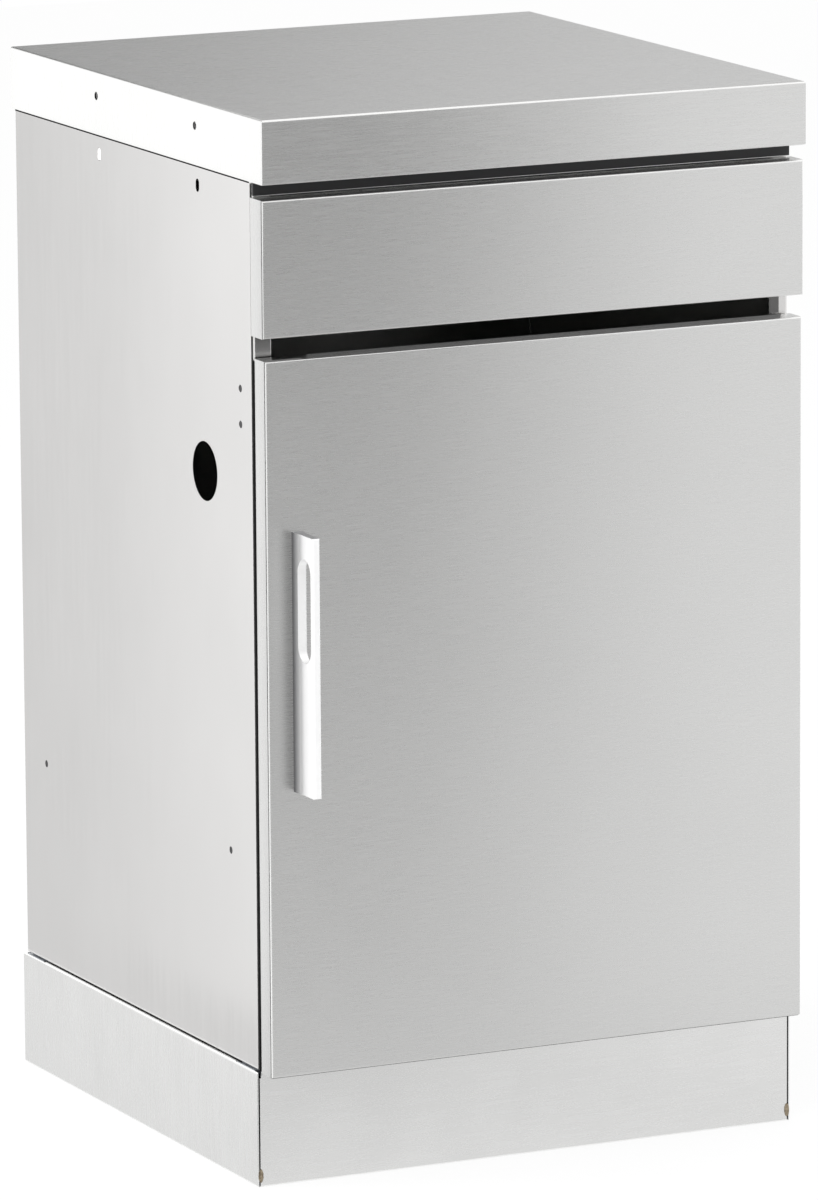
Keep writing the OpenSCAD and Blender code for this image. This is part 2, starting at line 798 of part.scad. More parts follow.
// Bushes in the eyes of the hinge arms
module hinge_bushes() {
  h = arm_t + arm_gap;
  color("#d8d4c8") for (z = z_hinges) translate([hinge_x, hinge_y, z - h / 2]) difference() {
    cylinder(d = bush_d, h = h);
    translate([0, 0, -over]) cylinder(d = pin_d + 2 * run, h = h + 2 * over);
  }
}

// Screws that hold the hinge plates to the column from inside
module hinge_screws() {
  y = y_carc + sheet_t + arm_t;
  color(ZINC) for (z = z_hinges, s = [-1, 1]) {
    bar_y([hinge_x, y, z + s * arm_screw], head_d, head_h);
    bar_y([hinge_x, y_carc, z + s * arm_screw], screw_d, y - y_carc + head_h / 2);
  }
}

// A channel that brings the runner out to the line of the column's lip
module runner_bracket() {
  h = runner_h + 2 * runner_bracket_rim;
  y0 = y_lip + over;
  color(ZINC) difference() {
    along_y(y0, y_run + runner_l - y0) translate([col_x, z_runner - h / 2]) {
      square([spacer_t, h]);
      square([in_x - col_x, spacer_t]);
      translate([0, h - spacer_t]) square([in_x - col_x, spacer_t]);
    }
    for (y = runner_screw_ys())
      bar_x([col_x - over, y, z_runner], screw_d + 2 * run, spacer_t + 2 * over);
  }
}

function runner_screw_ys() = [y_run + runner_hole_in, y_run + runner_l - runner_hole_in];

module runner_bracket_left() { mirror([1, 0, 0]) runner_bracket(); }
module runner_bracket_right() { runner_bracket(); }

// A rectangle in a runner's section, between two distances from the bracket's face
module across(u0, u1, half_h) {
  translate([-u1, -half_h]) square([u1 - u0, 2 * half_h]);
}

// Fixed member: a channel with turned-in edges, open towards the drawer box
module runner_outer() {
  color(BRIGHT) difference() {
    along_y(y_run, runner_l) translate([col_x, z_runner]) {
      difference() {
        across(0, outer_u, runner_h / 2);
        across(rail_t, outer_u - rail_t, runner_h / 2 - rail_t);
        across(rail_t, outer_u + over, hook_z);
      }
    }
    for (y = runner_screw_ys())
      bar_x([col_x - rail_t - over, y, z_runner], screw_d + 2 * run, rail_t + 2 * over);
  }
}

module runner_outer_left() { mirror([1, 0, 0]) runner_outer(); }
module runner_outer_right() { runner_outer(); }

// Low-headed screws through the fixed members into the runner brackets
module runner_screws() {
  color(ZINC) both_sides() for (y = runner_screw_ys()) {
    bar_x([col_x - rail_t - low_head_h, y, z_runner], head_d, low_head_h);
    bar_x([col_x - rail_t - low_head_h / 2, y, z_runner], screw_d, rail_t + spacer_t + screw_end);
  }
}

// Middle member: rides inside the fixed member's hooks
module runner_middle() {
  color(BRIGHT) along_y(y_run, runner_l) translate([col_x, z_runner]) difference() {
    across(mid_u, mid_end_u, mid_z);
    across(mid_u + rail_t, mid_end_u + over, hook_z);
  }
}

module runner_middle_left() { mirror([1, 0, 0]) runner_middle(); }
module runner_middle_right() { runner_middle(); }

// Drawer member: its edges run between the middle member's tracks
module runner_inner() {
  color(BRIGHT) difference() {
    along_y(y_run, runner_l) translate([col_x, z_runner]) difference() {
      across(inner_u, runner_t, inner_z);
      across(inner_u - over, runner_t - rail_t, inner_z - rail_t);
    }
    for (y = box_screw_ys())
      bar_x([box_x - over, y, z_runner], screw_d + 2 * run, rail_t + 2 * over);
  }
}

function box_screw_ys() = [y_run + box_screw_in, y_run + runner_l - box_screw_in];

module runner_inner_left() { mirror([1, 0, 0]) runner_inner(); }
module runner_inner_right() { runner_inner(); }

// Screws from inside the drawer box into the drawer members
module drawer_runner_screws() {
  inner = box_x - sheet_t;
  color(ZINC) both_sides() for (y = box_screw_ys()) {
    bar_x([inner - head_h, y, z_runner], head_d, head_h);
    bar_x([inner - head_h / 2, y, z_runner], screw_d, sheet_t + rail_t + head_h / 2 + 1);
  }
}

// Blank drawer front, folded like the door
module drawer_front() {
  color(STEEL) translate([0, y_door, z_drawer])
    tray(2 * drawer_x, drawer_face_h, drawer_t, sheet_t, fold_r);
}

// An inner panel that closes a folded front from behind
module liner(half_w, z, h, y) {
  d = sheet_t + fit;
  translate([0, y, z + d]) mirror([0, 1, 0])
    tray(2 * (half_w - d), h - 2 * d, liner_edge, sheet_t, sheet_t + fit);
}

module drawer_front_liner() {
  color(STEEL) difference() {
    liner(drawer_x, z_drawer, drawer_face_h, y_drawer_in);
    for (p = front_screw_points())
      bar_y([p[0], y_drawer_in - sheet_t - over, p[1]], screw_d + 2 * run, sheet_t + 2 * over);
  }
}

function front_screw_points() =
  [for (s = [-1, 1], z = [z_box + front_screw_up, z_box_top - front_screw_up])
    [s * (box_x - front_screw_in), z]];

// Bottom and sides of the drawer box in one folded sheet, with a rim along the top
module drawer_tray() {
  color(BRIGHT) difference() {
    along_y(y_drawer_in, y_run + runner_l - y_drawer_in) translate([-box_x, z_box]) difference() {
      rounded(2 * box_x, box_h, fold_r);
      translate([sheet_t, sheet_t])
        rounded(2 * (box_x - sheet_t), box_h - 2 * sheet_t, fold_r - sheet_t);
      translate([box_rim, box_h / 2]) square([2 * (box_x - box_rim), box_h]);
    }
    both_sides() for (y = box_screw_ys())
      bar_x([box_x - sheet_t - over, y, z_runner], screw_d + 2 * run, sheet_t + 2 * over);
  }
}

// A folded end of the drawer box, its face at y = 0
module box_end() {
  d = sheet_t + nest;
  translate([0, 0, z_box + d]) tray(2 * (box_x - d), box_h - 2 * d, box_end_edge, sheet_t, fold_r);
}

module drawer_box_front() {
  color(BRIGHT) difference() {
    translate([0, y_drawer_in, 0]) box_end();
    for (p = front_screw_points())
      bar_y([p[0], y_drawer_in - over, p[1]], screw_d + 2 * run, sheet_t + 2 * over);
  }
}

module drawer_box_back() {
  color(BRIGHT) translate([0, y_run + runner_l, 0]) mirror([0, 1, 0]) box_end();
}

// Screws from inside the box into the drawer front's inner panel
module drawer_front_screws() {
  color(ZINC) for (p = front_screw_points()) {
    bar_y([p[0], y_drawer_in + sheet_t, p[1]], head_d, head_h);
    bar_y([p[0], y_drawer_in - screw_end, p[1]], screw_d, sheet_t + screw_end + head_h / 2);
  }
}

// Rubber stops behind the drawer front, opposite the columns
module drawer_bumpers() {
  z = (z_drawer + z_drawer_top) / 2;
  color(PLASTIC) both_sides()
    bar_y([mid_col_x, y_drawer_in, z], bumper_d, drawer_gap - stop_gap);
}

// The opening in the door's rear edge through which a hinge arm reaches
module hinge_notch(z) {
  front = hinge_y - arm_w / 2 - notch_in;
  translate([hinge_x - arm_w / 2 - over, front, z - arm_half])
    cube([arm_w / 2 + pivot_in + 2 * over, y_door_in + over - front, 2 * arm_half]);
}

// Outer skin of the door
module door_skin() {
  color(STEEL) difference() {
    translate([0, y_door, z_door]) tray(2 * door_x, door_h, door_t, sheet_t, fold_r);
    for (z = z_hinges) hinge_notch(z);
    for (z = handle_zs())
      bar_y([-handle_x, y_door - over, z], handle_screw_d + 2 * run, sheet_t + 2 * over);
  }
}

function handle_zs() = [handle_mid - handle_pitch / 2, handle_mid + handle_pitch / 2];

module door_liner() {
  color(STEEL) difference() {
    liner(door_x, z_door, door_h, y_door_in);
    for (z = z_hinges) hinge_notch(z);
    for (z = handle_zs())
      bar_y([-handle_x, y_door_in - sheet_t - over, z], handle_screw_d + 2 * run, sheet_t + 2 * over);
  }
}

// Handle section: a blade with round front edges on a foot with hollow sides
module handle_section() {
  r = edge_r;
  half = handle_t / 2;
  translate([-half, -(handle_reach - r)]) square([handle_t, handle_reach - r]);
  translate([-half + r, -handle_reach]) square([handle_t - 2 * r, handle_reach]);
  for (s = [-1, 1]) translate([s * (half - r), -(handle_reach - r)]) circle(r);
  difference() {
    translate([-half - foot_out, -foot_r]) square([handle_t + 2 * foot_out, foot_r]);
    for (s = [-1, 1]) translate([s * (half + foot_r), -foot_r]) circle(foot_r, $fn = 96);
  }
}

// The handle: an extruded aluminium blade with a finger slot
module door_handle() {
  grip_y = handle_reach - grip_bar - grip_w / 2;
  color("#f0f1f1") translate([-handle_x, y_door, z_handle]) difference() {
    intersection() {
      linear_extrude(handle_h) handle_section();
      along_x(-handle_t - foot_out, 2 * (handle_t + foot_out))
        translate([-handle_reach, 0]) rounded(handle_reach + 2 * edge_r, handle_h, edge_r);
    }
    along_x(-handle_t, 2 * handle_t)
      translate([-grip_y, handle_h - grip_top - grip_h / 2]) stadium(grip_w, grip_h);
    for (s = [-1, 1])
      bar_y([0, -screw_depth - 1, handle_h / 2 + s * handle_pitch / 2],
        handle_screw_d + 2 * run, screw_depth + 2);
  }
}

// Screws from inside the door into the handle
module handle_screws() {
  color(ZINC) for (z = handle_zs()) {
    bar_y([-handle_x, y_door_in, z], handle_screw_d * hex, handle_head_h);
    bar_y([-handle_x, y_door - screw_depth, z], handle_screw_d, screw_depth + door_t + 1);
  }
}

// Sleeves that keep the door's two sheets apart under the handle's screws
module handle_spacers() {
  color(ZINC) for (z = handle_zs()) difference() {
    bar_y([-handle_x, y_door + sheet_t, z], handle_screw_d * sleeve_share, door_t - 2 * sheet_t);
    bar_y([-handle_x, y_door, z], handle_screw_d + 2 * run, door_t);
  }
}

// A folded cage inside the door that holds a hinge pin above and below the arm
module hinge_cage(z) {
  x0 = hinge_x - cage_in;
  x1 = door_x - 2 * (sheet_t + fit);
  y0 = y_door + sheet_t;
  d = door_t - 2 * sheet_t;
  color(ZINC) difference() {
    union() {
      for (s = [0, 1]) translate([x0, y0, z]) mirror([0, 0, s])
        translate([0, 0, arm_half]) cube([x1 - x0, d, cage_t]);
      translate([x0, y0, z - arm_half - cage_t / 2]) cube([cage_t, d, 2 * arm_half + cage_t]);
    }
    translate([hinge_x, hinge_y, z - arm_half - 2 * cage_t])
      cylinder(d = pin_d + 2 * run, h = 2 * arm_half + 4 * cage_t);
  }
}

module hinge_cage_lower() { hinge_cage(z_hinges[0]); }
module hinge_cage_upper() { hinge_cage(z_hinges[1]); }

// Hinge pins, each hanging by its head in the cage
module hinge_pins() {
  top = arm_half + cage_t;
  color(BRIGHT) for (z = z_hinges) translate([hinge_x, hinge_y, z]) {
    translate([0, 0, top]) cylinder(d = pin_d * pin_head_share, h = cage_t);
    translate([0, 0, -top - cage_t]) cylinder(d = pin_d, h = 2 * top + 2 * cage_t - over);
  }
}

// Steel plate on the door that meets the magnet
module strike_plate() {
  color(ZINC) translate([-nose_x - magnet_w / 2, y_door_in, z_catch - nose_h / 2])
    cube([magnet_w, strike_t, nose_h]);
}

// Rubber stops on the door's free edge, opposite the left column
module door_bumpers() {
  color(PLASTIC) for (z = [z_door + bumper_low, z_door_top - bumper_high])
    bar_y([-mid_col_x, y_door_in, z], bumper_d, door_gap - stop_gap);
}

worktop();
worktop_rib_front();
worktop_rib_rear();
worktop_nuts();
side_panel_left();
side_panel_right();
back_panel();
back_panel_screws();
base_panel();
front_rail();
rear_rail();
shelf();
shelf_rivets();
plinth_front();
plinth_back();
plinth_left();
plinth_right();
corner_bracket_front_left();
corner_bracket_front_right();
corner_bracket_rear_left();
corner_bracket_rear_right();
foot_nuts();
base_bolts();
foot_front_left();
foot_front_right();
foot_rear_left();
foot_rear_right();
catch_body();
catch_magnet();
hinge_bracket_lower();
hinge_bracket_upper();
hinge_bushes();
hinge_screws();
runner_bracket_left();
runner_bracket_right();
runner_outer_left();
runner_outer_right();
runner_screws();
runner_middle_left();
runner_middle_right();
runner_inner_left();
runner_inner_right();
drawer_runner_screws();
drawer_front();
drawer_front_liner();
drawer_tray();
drawer_box_front();
drawer_box_back();
drawer_front_screws();
drawer_bumpers();
door_skin();
door_liner();
door_handle();
handle_screws();
handle_spacers();
hinge_cage_lower();
hinge_cage_upper();
hinge_pins();
strike_plate();
door_bumpers();
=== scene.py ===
import math

import bpy
from mathutils import Matrix, Vector


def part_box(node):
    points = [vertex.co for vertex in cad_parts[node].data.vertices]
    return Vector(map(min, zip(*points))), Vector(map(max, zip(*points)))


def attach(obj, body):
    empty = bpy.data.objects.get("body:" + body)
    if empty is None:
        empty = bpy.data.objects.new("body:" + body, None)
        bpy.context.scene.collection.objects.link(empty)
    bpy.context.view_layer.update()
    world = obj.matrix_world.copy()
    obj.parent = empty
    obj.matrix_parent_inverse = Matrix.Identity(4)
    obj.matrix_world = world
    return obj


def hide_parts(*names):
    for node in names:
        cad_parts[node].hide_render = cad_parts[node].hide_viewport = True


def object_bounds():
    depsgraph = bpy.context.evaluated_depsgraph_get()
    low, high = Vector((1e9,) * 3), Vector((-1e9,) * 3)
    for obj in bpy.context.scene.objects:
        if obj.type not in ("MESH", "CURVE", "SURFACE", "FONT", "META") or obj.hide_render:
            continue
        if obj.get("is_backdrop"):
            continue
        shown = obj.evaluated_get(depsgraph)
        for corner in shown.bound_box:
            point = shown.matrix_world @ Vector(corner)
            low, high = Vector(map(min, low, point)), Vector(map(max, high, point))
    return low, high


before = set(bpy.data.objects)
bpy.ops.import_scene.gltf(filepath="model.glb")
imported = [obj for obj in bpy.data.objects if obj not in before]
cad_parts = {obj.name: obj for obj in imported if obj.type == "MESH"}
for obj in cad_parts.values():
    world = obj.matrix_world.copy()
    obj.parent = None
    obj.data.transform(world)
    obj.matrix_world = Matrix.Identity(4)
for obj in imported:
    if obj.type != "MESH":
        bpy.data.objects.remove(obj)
cadLow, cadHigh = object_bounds()
scene = bpy.context.scene
mm = 0.001  # sizes and places below are in millimetres, and Blender works in metres
reach = 4  # how far a cutter stands out on each side of a sheet's face
smoothAngle = 38  # up to this many degrees, two faces shade as one curve
print("frame loaded")


# Helpers for sizes, selection and cutting

# a CAD node's lowest and highest corner
def span(node):
    low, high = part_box(node)
    return [c / mm for c in low], [c / mm for c in high]


# whether a length in metres lies at a place in millimetres
def at(value, place, gap=0.03):
    return abs(value - place * mm) < gap * mm


# a test for edges that lie at the given places, and along an axis where one is given
def edgesAt(along=None, **places):
    def test(start, end):
        if along and abs(getattr(start, along) - getattr(end, along)) < 0.1 * mm:
            return False
        return all(at(getattr(point, axis), place)
                   for axis, place in places.items() for point in (start, end))
    return test


def deselectAll():
    bpy.ops.object.select_all(action="DESELECT")


def activate(piece):
    deselectAll()
    piece.select_set(True)
    bpy.context.view_layer.objects.active = piece


def addBlock(name, low, high):
    deselectAll()
    low, high = Vector(low) * mm, Vector(high) * mm
    bpy.ops.mesh.primitive_cube_add(size=1, location=(low + high) / 2)
    piece = bpy.context.object
    piece.name = piece.data.name = name
    piece.scale = high - low
    bpy.ops.object.transform_apply(location=True, rotation=False, scale=True)
    return piece


# a rod that starts at a point and runs along an axis
def addRod(name, start, axis, radius, length, sides=48):
    deselectAll()
    turn = {"x": (0, math.pi / 2, 0), "y": (-math.pi / 2, 0, 0), "z": (0, 0, 0)}[axis]
    middle = Vector(start)
    middle["xyz".index(axis)] += length / 2
    bpy.ops.mesh.primitive_cylinder_add(vertices=sides, radius=radius * mm, depth=length * mm,
                                        location=middle * mm, rotation=turn)
    piece = bpy.context.object
    piece.name = piece.data.name = name
    bpy.ops.object.transform_apply(location=True, rotation=True, scale=False)
    return piece


# a cutter for a round hole through a sheet, centred on the sheet's face
def holeCutter(centre, axis, radius, sides=48):
    start = list(centre)
    start["xyz".index(axis)] -= reach
    return addRod("cutter", start, axis, radius, 2 * reach, sides)


# opens edit mode with the faces, edges or points selected that pass a test
def pick(piece, kind, test):
    activate(piece)
    bpy.ops.object.mode_set(mode="EDIT")
    bpy.ops.mesh.select_mode(type=kind)
    bpy.ops.mesh.select_all(action="DESELECT")
    bpy.ops.object.mode_set(mode="OBJECT")
    mesh = piece.data
    if kind == "FACE":
        for face in mesh.polygons:
            face.select = test(face.center, face.normal)
    elif kind == "EDGE":
        for edge in mesh.edges:
            edge.select = test(*(mesh.vertices[i].co for i in edge.vertices))
    else:
        for vertex in mesh.vertices:
            vertex.select = test(vertex.co)
    bpy.ops.object.mode_set(mode="EDIT")


def pickAll(piece):
    pick(piece, "FACE", lambda centre, normal: True)


def leaveEdit():
    bpy.ops.object.mode_set(mode="OBJECT")


# rounds the edges that pass a test, as a fold does
def foldEdges(piece, radius, test, steps=5):
    pick(piece, "EDGE", test)
    bpy.ops.mesh.bevel(offset=radius * mm, segments=steps, affect="EDGES")
    leaveEdit()


def openFaces(piece, test):
    pick(piece, "FACE", test)
    bpy.ops.mesh.delete(type="FACE")
    leaveEdit()


def splitAt(piece, place, normal):
    pickAll(piece)
    bpy.ops.mesh.bisect(plane_co=place, plane_no=normal)
    leaveEdit()


# a slab whose ends are rounded to a slot shape; the radius stays a hair under half the width,
# so that the roundings at one end don't meet
def addSlot(name, low, high, axis, steps=10):
    piece = addBlock(name, low, high)
    across = [i for i in range(3) if i != "xyz".index(axis)]
    radius = min(high[i] - low[i] for i in across) / 2 - 0.004
    foldEdges(piece, radius, edgesAt(along=axis), steps)
    return piece


def finishWith(piece, kind, **settings):
    activate(piece)
    modifier = piece.modifiers.new(kind.title(), kind)
    for setting, value in settings.items():
        setattr(modifier, setting, value)
    bpy.ops.object.modifier_apply(modifier=modifier.name)


# the sheet's thickness goes inwards from the folded outside
def giveSheet(piece, thickness):
    finishWith(piece, "SOLIDIFY", thickness=thickness * mm, offset=-1, use_even_offset=True)


def joinAll(pieces):
    deselectAll()
    for piece in pieces:
        piece.select_set(True)
    bpy.context.view_layer.objects.active = pieces[0]
    if len(pieces) > 1:
        bpy.ops.object.join()
    return pieces[0]


def cutOut(piece, cutters):
    cutter = joinAll(cutters)
    finishWith(piece, "BOOLEAN", operation="DIFFERENCE", solver="EXACT", object=cutter)
    bpy.data.objects.remove(cutter)


def smoothFolds(piece):
    activate(piece)
    bpy.ops.object.shade_smooth_by_angle(angle=math.radians(smoothAngle))
    finishWith(piece, "WEIGHTED_NORMAL", keep_sharp=True)


# takes the sharpness off cut edges
def easeEdges(piece, width=0.12, steps=1, limit=50):
    finishWith(piece, "BEVEL", width=width * mm, segments=steps, limit_method="ANGLE",
               angle_limit=math.radians(limit), use_clamp_overlap=False)
    smoothFolds(piece)


def mirrored(piece, name, axis):
    activate(piece)
    bpy.ops.object.duplicate(linked=False)
    copy = bpy.context.object
    copy.name = copy.data.name = name
    pickAll(copy)
    bpy.ops.transform.mirror(constraint_axis=[axis == a for a in "xyz"],
                             center_override=(0, 0, 0))
    bpy.ops.mesh.normals_make_consistent(inside=False)
    leaveEdit()
    return copy


# gives a piece its material and its body, and hides the CAD nodes that it replaces
def setDown(piece, material, body, slot, *nodes):
    piece.data.materials.clear()
    piece.data.materials.append(material)
    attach(piece, body)
    if nodes:
        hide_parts(*nodes)


# Materials

noiseSpan = (0.3, 0.7)  # nearly all of a noise texture's values lie between these


# the linear values of an sRGB colour
def linear(hexColour):
    parts = [int(hexColour[i:i + 2], 16) / 255 for i in (1, 3, 5)]
    return tuple(c / 12.92 if c <= 0.04045 else ((c + 0.055) / 1.055) ** 2.4 for c in parts) + (1,)


def addNode(tree, kind, inputs=None, **settings):
    node = tree.nodes.new(kind)
    for setting, value in settings.items():
        setattr(node, setting, value)
    for name, value in (inputs or {}).items():
        if isinstance(value, bpy.types.NodeSocket):
            tree.links.new(value, node.inputs[name])
        else:
            node.inputs[name].default_value = value
    return node


def startMaterial(name, colour, roughness, metallic=0.0):
    material = bpy.data.materials.new(name)
    material.use_nodes = True
    shader = material.node_tree.nodes["Principled BSDF"]
    shader.inputs["Base Color"].default_value = linear(colour)
    shader.inputs["Roughness"].default_value = roughness
    shader.inputs["Metallic"].default_value = metallic
    return material, material.node_tree, shader


# a grain changes the gloss from smoother to rougher and gives a fine relief
def addGrain(tree, shader, grain, roughness, smoother, rougher, depth):
    gloss = addNode(tree, "ShaderNodeMapRange", {
        "Value": grain, "From Min": noiseSpan[0], "From Max": noiseSpan[1],
        "To Min": roughness - smoother, "To Max": roughness + rougher})
    tree.links.new(gloss.outputs[0], shader.inputs["Roughness"])
    relief = addNode(tree, "ShaderNodeBump", {"Height": grain, "Strength": 1.0,
                                              "Distance": depth * mm})
    tree.links.new(relief.outputs[0], shader.inputs["Normal"])


# Stainless sheet, 1.4301: a grey metal. The lines of its grinding or rolling run along the
# sheet, and upright where it is folded down at the sides. They are about 0.1 mm wide in
# reality and are drawn at lineWidth so that they show. Faint clouds lie over them.
def stainlessSheet(name, colour, shade, roughness, lineLength, lineWidth, lineDepth,
                   lineShare, cloudSize, cloudShare):
    material, tree, shader = startMaterial(name, colour, roughness, 1.0)
    place = addNode(tree, "ShaderNodeTexCoord")
    long, wide = 1 / (lineLength * mm), 1 / (lineWidth * mm)
    level, stand = [addNode(tree, "ShaderNodeMapping", {"Vector": place.outputs["Object"],
                                                        "Scale": scale})
                    for scale in ((long, wide, wide), (wide, wide, long))]
    lying, upright = [addNode(tree, "ShaderNodeTexNoise", {
        "Vector": way.outputs[0], "Scale": 1.0, "Detail": 3.0, "Roughness": 0.6})
        for way in (level, stand)]
    normal = addNode(tree, "ShaderNodeSeparateXYZ", {0: place.outputs["Normal"]})
    size = addNode(tree, "ShaderNodeMath", {0: normal.outputs["X"]}, operation="ABSOLUTE")
    # 1 where a face looks mostly along x, as the sides do
    side = addNode(tree, "ShaderNodeMath", {0: size.outputs[0], 1: 0.75},
                   operation="GREATER_THAN")
    grain = addNode(tree, "ShaderNodeMix", {"Factor": side.outputs[0], 2: lying.outputs[0],
                                            3: upright.outputs[0]}, data_type="FLOAT")
    clouds = addNode(tree, "ShaderNodeTexNoise", {
        "Vector": place.outputs["Object"], "Scale": 1 / (cloudSize * mm), "Detail": 2.0})
    patch = addNode(tree, "ShaderNodeMath", {0: clouds.outputs[0], 1: cloudShare,
                                             2: 0.5 - cloudShare / 2}, operation="MULTIPLY_ADD")
    streak = addNode(tree, "ShaderNodeMath", {0: grain.outputs[0], 1: lineShare,
                                              2: -lineShare / 2}, operation="MULTIPLY_ADD")
    mixed = addNode(tree, "ShaderNodeMath", {0: patch.outputs[0], 1: streak.outputs[0]},
                    operation="ADD", use_clamp=True)
    tone = addNode(tree, "ShaderNodeMix", {"Factor": mixed.outputs[0], 6: linear(shade),
                                           7: linear(colour)}, data_type="RGBA")
    tree.links.new(tone.outputs[2], shader.inputs["Base Color"])
    addGrain(tree, shader, grain.outputs[0], roughness, 0.04, 0.05, lineDepth)
    return material


# Fine brushed sheet of the fronts and the worktop: short lines, soft reflections
brushedSteel = stainlessSheet("brushed_stainless_steel", "#f0f0ef", "#dbdbda", roughness=0.28,
                              lineLength=30, lineWidth=0.6, lineDepth=0.0004, lineShare=0.65,
                              cloudSize=160, cloudShare=0.3)
# Cold rolled sheet of the side panels: smoother and brighter, with long faint bands
wallSteel = stainlessSheet("cold_rolled_stainless_steel", "#e8e7e6", "#dfdedd", roughness=0.17,
                           lineLength=90, lineWidth=6, lineDepth=0.001, lineShare=0.4,
                           cloudSize=140, cloudShare=0.9)
# Satin sheet of the plinth and the drawer box: pale, with a short coarse grain
plinthSteel = stainlessSheet("satin_stainless_steel", "#f9f9f8", "#efefee", roughness=0.26,
                             lineLength=40, lineWidth=3, lineDepth=0.001, lineShare=0.8,
                             cloudSize=50, cloudShare=0.9)
# Sheet as it left the mill, for what lies inside and behind: duller and a little darker
millSteel = stainlessSheet("mill_finish_stainless_steel", "#cfcfce", "#c2c2c1", roughness=0.32,
                           lineLength=160, lineWidth=2.5, lineDepth=0.002, lineShare=0.5,
                           cloudSize=90, cloudShare=0.8)


# Painted shade on the hollow flanks of the handle's foot: they go from white at the blade to a
# dull grey at the door.
# The sawn ends, which lie more than endReach above and below the middle, are bare metal
def paintFootShadeAndEnds(tree, shader, place, tone, metallic, footShadeAndEnds):
    spot = addNode(tree, "ShaderNodeSeparateXYZ", {0: place.outputs["Object"]})
    depth = addNode(tree, "ShaderNodeMapRange", {
        "Value": spot.outputs["Y"], "From Min": footShadeAndEnds["blade"] * mm, "From Max": footShadeAndEnds["door"] * mm},
        interpolation_type="SMOOTHSTEP")
    facing = addNode(tree, "ShaderNodeSeparateXYZ", {0: place.outputs["Normal"]})
    aside = addNode(tree, "ShaderNodeMath", {0: facing.outputs["X"]}, operation="ABSOLUTE")
    # the flanks get the painted shade, more of it towards the door
    flankShade = addNode(tree, "ShaderNodeMapRange", {
        "Value": aside.outputs[0], "From Min": 0.5, "From Max": 0.7, "To Max": depth.outputs[0]})
    tone = addNode(tree, "ShaderNodeMix", {"Factor": flankShade.outputs[0], 6: tone.outputs[2],
                                           7: linear(footShadeAndEnds["flankShadeColour"])}, data_type="RGBA")
    rise = addNode(tree, "ShaderNodeMath", {0: facing.outputs["Z"]}, operation="ABSOLUTE")
    cut = addNode(tree, "ShaderNodeMath", {0: rise.outputs[0], 1: 0.9}, operation="GREATER_THAN")
    height = addNode(tree, "ShaderNodeMath", {0: spot.outputs["Z"], 1: footShadeAndEnds["middle"] * mm},
                     operation="SUBTRACT")
    away = addNode(tree, "ShaderNodeMath", {0: height.outputs[0]}, operation="ABSOLUTE")
    beyond = addNode(tree, "ShaderNodeMath", {0: away.outputs[0], 1: footShadeAndEnds["endReach"] * mm},
                     operation="GREATER_THAN")
    sawn = addNode(tree, "ShaderNodeMath", {0: cut.outputs[0], 1: beyond.outputs[0]},
                   operation="MULTIPLY")
    bare = addNode(tree, "ShaderNodeMix", {"Factor": sawn.outputs[0], 2: metallic, 3: 1.0},
                   data_type="FLOAT")
    tree.links.new(bare.outputs[0], shader.inputs["Metallic"])
    return addNode(tree, "ShaderNodeMix", {"Factor": sawn.outputs[0], 6: tone.outputs[2],
                                           7: linear(footShadeAndEnds["sawnColour"])}, data_type="RGBA")


# Metal parts with a fine even grain: blasted, plated or ground
def grainyMetal(name, colour, shade, roughness, grainSize, grainDepth, patchSize, metallic=1.0,
                footShadeAndEnds=None):
    material, tree, shader = startMaterial(name, colour, roughness, metallic)
    place = addNode(tree, "ShaderNodeTexCoord")
    grain = addNode(tree, "ShaderNodeTexNoise", {
        "Vector": place.outputs["Object"], "Scale": 1 / (grainSize * mm), "Detail": 4.0})
    patch = addNode(tree, "ShaderNodeTexNoise", {
        "Vector": place.outputs["Object"], "Scale": 1 / (patchSize * mm), "Detail": 2.0})
    tone = addNode(tree, "ShaderNodeMix", {"Factor": patch.outputs[0], 6: linear(shade),
                                           7: linear(colour)}, data_type="RGBA")
    # painted shade on the handle's foot, where one is given
    if footShadeAndEnds:
        tone = paintFootShadeAndEnds(tree, shader, place, tone, metallic, footShadeAndEnds)
    tree.links.new(tone.outputs[2], shader.inputs["Base Color"])
    addGrain(tree, shader, grain.outputs[0], roughness, 0.05, 0.05, grainDepth)
    return material


# Anodised aluminium, bead blasted first: the thick oxide layer scatters light and looks
# almost white. The blasting's grain of 0.3 mm is drawn at 0.6 mm so that it shows.
handleAluminium = grainyMetal(
    "anodised_aluminium", "#fafafa", "#f4f4f4", roughness=0.45, grainSize=0.6, grainDepth=0.01,
    patchSize=60, metallic=0.45,
    # painted shade on the foot's flanks, darker towards the door, and bare metal on the sawn ends
    footShadeAndEnds={"blade": -261, "door": -240, "flankShadeColour": "#4c4c4f", "sawnColour": "#c4c4c6",
          "middle": 448.6, "endReach": 105})
# Zinc-plated steel, barrel plated: bluish grey with faint clouds
zincSteel = grainyMetal("zinc_plated_steel", "#c9ccd0", "#b2b6bb", roughness=0.30,
                        grainSize=0.5, grainDepth=0.006, patchSize=12)
# Bright zinc strip on the runners: smoother, rolled before it was formed
runnerZinc = grainyMetal("bright_zinc_strip", "#d6d8da", "#c3c5c8", roughness=0.22,
                         grainSize=0.8, grainDepth=0.003, patchSize=30)
# Ground ferrite: dark grey ceramic with a dull metallic sheen
ferrite = grainyMetal("ground_ferrite", "#4a4b4e", "#3c3d40", roughness=0.45,
                      grainSize=0.4, grainDepth=0.01, patchSize=6)
# A tack weld left as welded: straw and brown oxide over grey metal, finely wrinkled
weldMetal = grainyMetal("oxidised_weld_metal", "#cdbfa6", "#54463a", roughness=0.45,
                        grainSize=1.6, grainDepth=0.06, patchSize=2)


